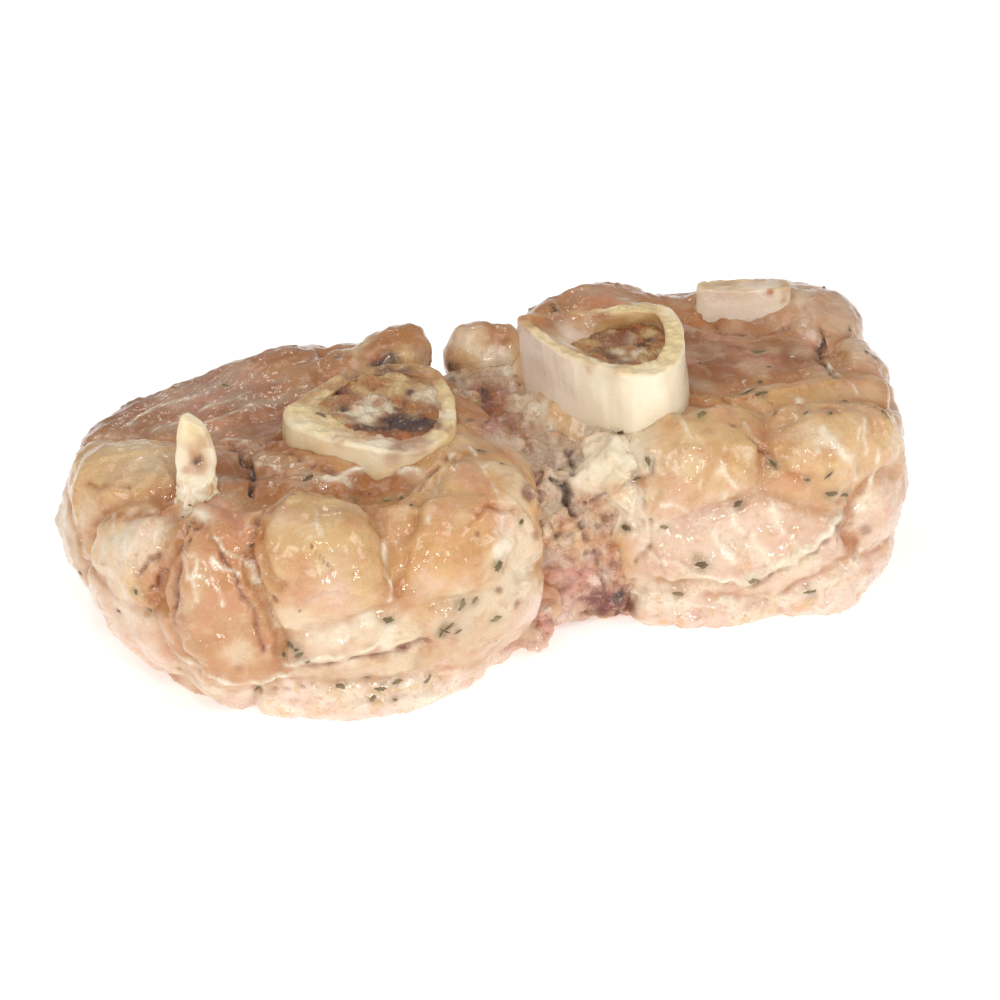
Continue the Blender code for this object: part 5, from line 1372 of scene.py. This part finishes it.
# Each fleck: photo pixel, length and width in mm, turn in degrees, and how faded it is under the jelly.
HERBS_SEEN = (
    (309, 478, 3.0, 2.2, 20, 0), (321, 414, 3.4, 1.2, -60, 0.2), (499, 566, 3.0, 2.4, 30, 0),
    (521, 522, 1.6, 1.2, 0, 0), (136, 592, 1.6, 1.0, 80, 0.3), (119, 611, 1.3, 1.1, 40, 0.3),
    (80, 573, 1.4, 1.1, 0, 0.4), (251, 546, 1.2, 0.7, 60, 0), (388, 620, 2.6, 1.6, 20, 0),
    (445, 631, 3.2, 0.5, -20, 0), (449, 627, 3.0, 0.5, 50, 0), (441, 634, 2.4, 0.5, 80, 0),
    (458, 632, 2.2, 0.4, 40, 0.2), (555, 310, 3.2, 1.1, -50, 0), (619, 433, 3.8, 0.9, 40, 0.1),
    (637, 478, 3.2, 0.9, 35, 0.3), (626, 528, 2.4, 1.6, 0, 0), (700, 363, 1.3, 0.8, 70, 0),
    (769, 367, 1.5, 0.9, 0, 0), (760, 382, 1.3, 0.8, 30, 0), (747, 392, 4.2, 0.8, -3, 0),
    (762, 393, 3.6, 0.9, -8, 0), (806, 413, 1.8, 0.8, 20, 0.3), (831, 413, 1.4, 0.8, 50, 0.1),
    (773, 463, 3.2, 1.0, -35, 0), (829, 475, 3.0, 0.6, 60, 0), (832, 494, 3.4, 1.6, 5, 0.1),
    (846, 495, 3.4, 1.0, 0, 0.2), (807, 480, 1.6, 0.9, 0, 0.2), (738, 504, 2.2, 1.6, 60, 0),
    (702, 565, 3.8, 1.7, 12, 0.1), (556, 536, 1.3, 1.0, 0, 0), (866, 352, 1.4, 0.8, 0, 0.2),
    (850, 330, 1.2, 0.8, 0, 0.3), (567, 493, 1.4, 0.8, 80, 0), (411, 505, 1.1, 0.7, 0, 0),
    (290, 645, 2.4, 1.2, -30, 0.2), (299, 655, 2.6, 1.0, 40, 0.3), (284, 654, 1.8, 1.2, 60, 0.1),
    (308, 662, 2.0, 0.7, 60, 0.2), (296, 650, 1.2, 0.8, 10, 0), (257, 688, 2.6, 1.0, 20, 0.5),
    (462, 605, 3.6, 1.4, 70, 0.7), (496, 619, 3.0, 1.6, 20, 0.7), (341, 686, 2.6, 1.4, 0, 0.6),
    (381, 689, 2.8, 1.2, 20, 0.5), (373, 698, 2.0, 1.0, 60, 0.5), (397, 682, 3.0, 1.0, 30, 0.6),
    (428, 680, 3.0, 1.0, 40, 0.7), (367, 677, 2.0, 1.2, 0, 0.7), (664, 527, 2.4, 1.4, 0, 0.7),
    (678, 594, 3.4, 1.0, 10, 0.6), (754, 581, 3.6, 1.8, 20, 0.7), (811, 592, 4.0, 1.0, 15, 0.6),
    (702, 414, 3.0, 1.4, 20, 0.5), (648, 461, 2.6, 1.2, -60, 0.4), (475, 600, 2.4, 0.9, 60, 0.7),
    (150, 610, 1.6, 1.0, 0, 0.6), (560, 470, 1.2, 0.8, 0, 0.5), (225, 385, 1.8, 0.8, -30, 0.3),
    (190, 505, 1.0, 0.6, 0, 0.2), (183, 517, 0.9, 0.7, 0, 0.1), (395, 700, 1.2, 0.7, 0, 0.4),
)
HERBS_UNSEEN = 80
HERB_LOWEST = 2
FLECK_SIDES = 16
FLECK_THICKNESS = 0.16
# From the middle of a fleck's face over its rim to the middle of its back: share of its outline, rise and how
# much stain shows.
FLECK_RINGS = ((0.02, 1.0, 0.0), (0.55, 1.0, 0.15), (1.0, 0.15, 0.6), (0.98, -1.5, 0.6), (0.02, -1.5, 0.6))


def make_fleck(tree, middle, length, width, turn, faded, seed):
    """One scrap of leaf: a pointed, ragged patch laid on the surface, closed underneath."""
    draw = np.random.default_rng(seed)
    place, normal, _, _ = tree.find_nearest(Vector(to_row(middle)))
    normal = np.array(normal)
    side = np.cross(normal, (0.3, 0.2, 1.0) if abs(normal[2]) < 0.9 else (0.0, 1.0, 0.0))
    side /= np.linalg.norm(side)
    ahead = np.cross(normal, side)
    c, s = math.cos(math.radians(turn)), math.sin(math.radians(turn))
    along, across = side * c + ahead * s, ahead * c - side * s
    around = np.linspace(0, 2 * math.pi, FLECK_SIDES, endpoint=False)
    edge = 0.78 + 0.16 * draw.normal(size=FLECK_SIDES).clip(-1.2, 1.5)
    rim = np.column_stack([np.cos(around) * length / 2, np.sin(around) * width / 2])
    points = []
    for share, rise, _ in FLECK_RINGS:
        for u, v in rim * (edge * share)[:, None]:
            on, up, _, _ = tree.find_nearest(Vector(np.array(place) + (along * u + across * v) * MM))
            points.append(np.array(on) + np.array(up) * rise * FLECK_THICKNESS * (1 - 0.5 * faded) * MM)
    return np.array(points) / MM + LAYOUT_MIDDLE


def make_herbs(material):
    meshes = [left_skin, right_skin, jelly_mesh, left_bone_mesh, right_bone_mesh]
    meshes += [left_marrow_mesh, right_marrow_mesh, sliver_mesh, plate_mesh]
    tree = surface_of(*meshes)
    flecks = []
    for across, down, length, width, turn, faded in HERBS_SEEN:
        flecks.append((seen_at(tree, across, down), length, width, turn, faded, across * 7 + down))
    draw = np.random.default_rng(5)
    soft_tree = surface_of(left_skin, right_skin, jelly_mesh)
    low, high = np.array(cad_low) / MM + LAYOUT_MIDDLE, np.array(cad_high) / MM + LAYOUT_MIDDLE
    toward_photo = photo_back[:2] / np.linalg.norm(photo_back[:2])
    while len(flecks) < len(HERBS_SEEN) + HERBS_UNSEEN:
        place, normal, _, _ = soft_tree.find_nearest(Vector(to_row(draw.uniform(low, high))))
        if np.array(normal)[:2] @ toward_photo > -0.15 or place.z < HERB_LOWEST * MM:
            continue
        middle = np.array(place) / MM + LAYOUT_MIDDLE
        length = draw.uniform(1.2, 3.6)
        width = length * draw.uniform(0.3, 0.7)
        turn = draw.uniform(0, 180)
        flecks.append((middle, length, width, turn, draw.uniform(0, 0.8), len(flecks)))
    points, faces, tints = [], [], []
    for fleck in flecks:
        corners = make_fleck(tree, *fleck)
        start = sum(map(len, points))
        for face in ring_faces(len(FLECK_RINGS), FLECK_SIDES, closed=False):
            faces.append(tuple(start + i for i in face))
        points.append(corners)
        shade = np.tile(colour("herb" if fleck[5] % 3 else "green herb"), (len(corners), 1))
        lay_on(shade, np.full(len(corners), fleck[4] * 0.9), "pale herb")
        lay_on(shade, np.repeat([stain for _, _, stain in FLECK_RINGS], FLECK_SIDES), "herb stain")
        tints.append(shade)
    mesh = mesh_of("herb_flecks", np.concatenate(points), faces)
    keep_tints(mesh, np.concatenate(tints))
    for skin in (left_skin, right_skin, jelly_mesh):
        points, _ = points_of(skin)
        tints = kept_tints(skin)
        rough = wander(points, 3, 95) * 0.3
        for middle, length, width, _, faded, _ in flecks:
            reach = (length + width) / 2.8
            near = near_place(points + rough * reach, middle, reach)
            lay_on(tints, np.clip((1.0 - 0.6 * faded) * near, 0, 0.75), "herb stain")
        keep_tints(skin, tints)
    show_piece("herb_flecks", mesh, material, [])


herb_finish = finish(
    "dried_herb",
    marks=((1.2, 0.5, 0.7, 0.5, "green herb", None), (0.8, 0.6, 0.75, 0.5, "pale herb", None)),
    threads=(),
    grains=((0.8, 0.3),), wet_grain=(0.8, 0.3), rough=(0.4, 0.7),
    sink=(0.1, (1.0, 0.8, 0.5), 1.0), shine=(0.3, 0.2),
)
make_herbs(herb_finish)
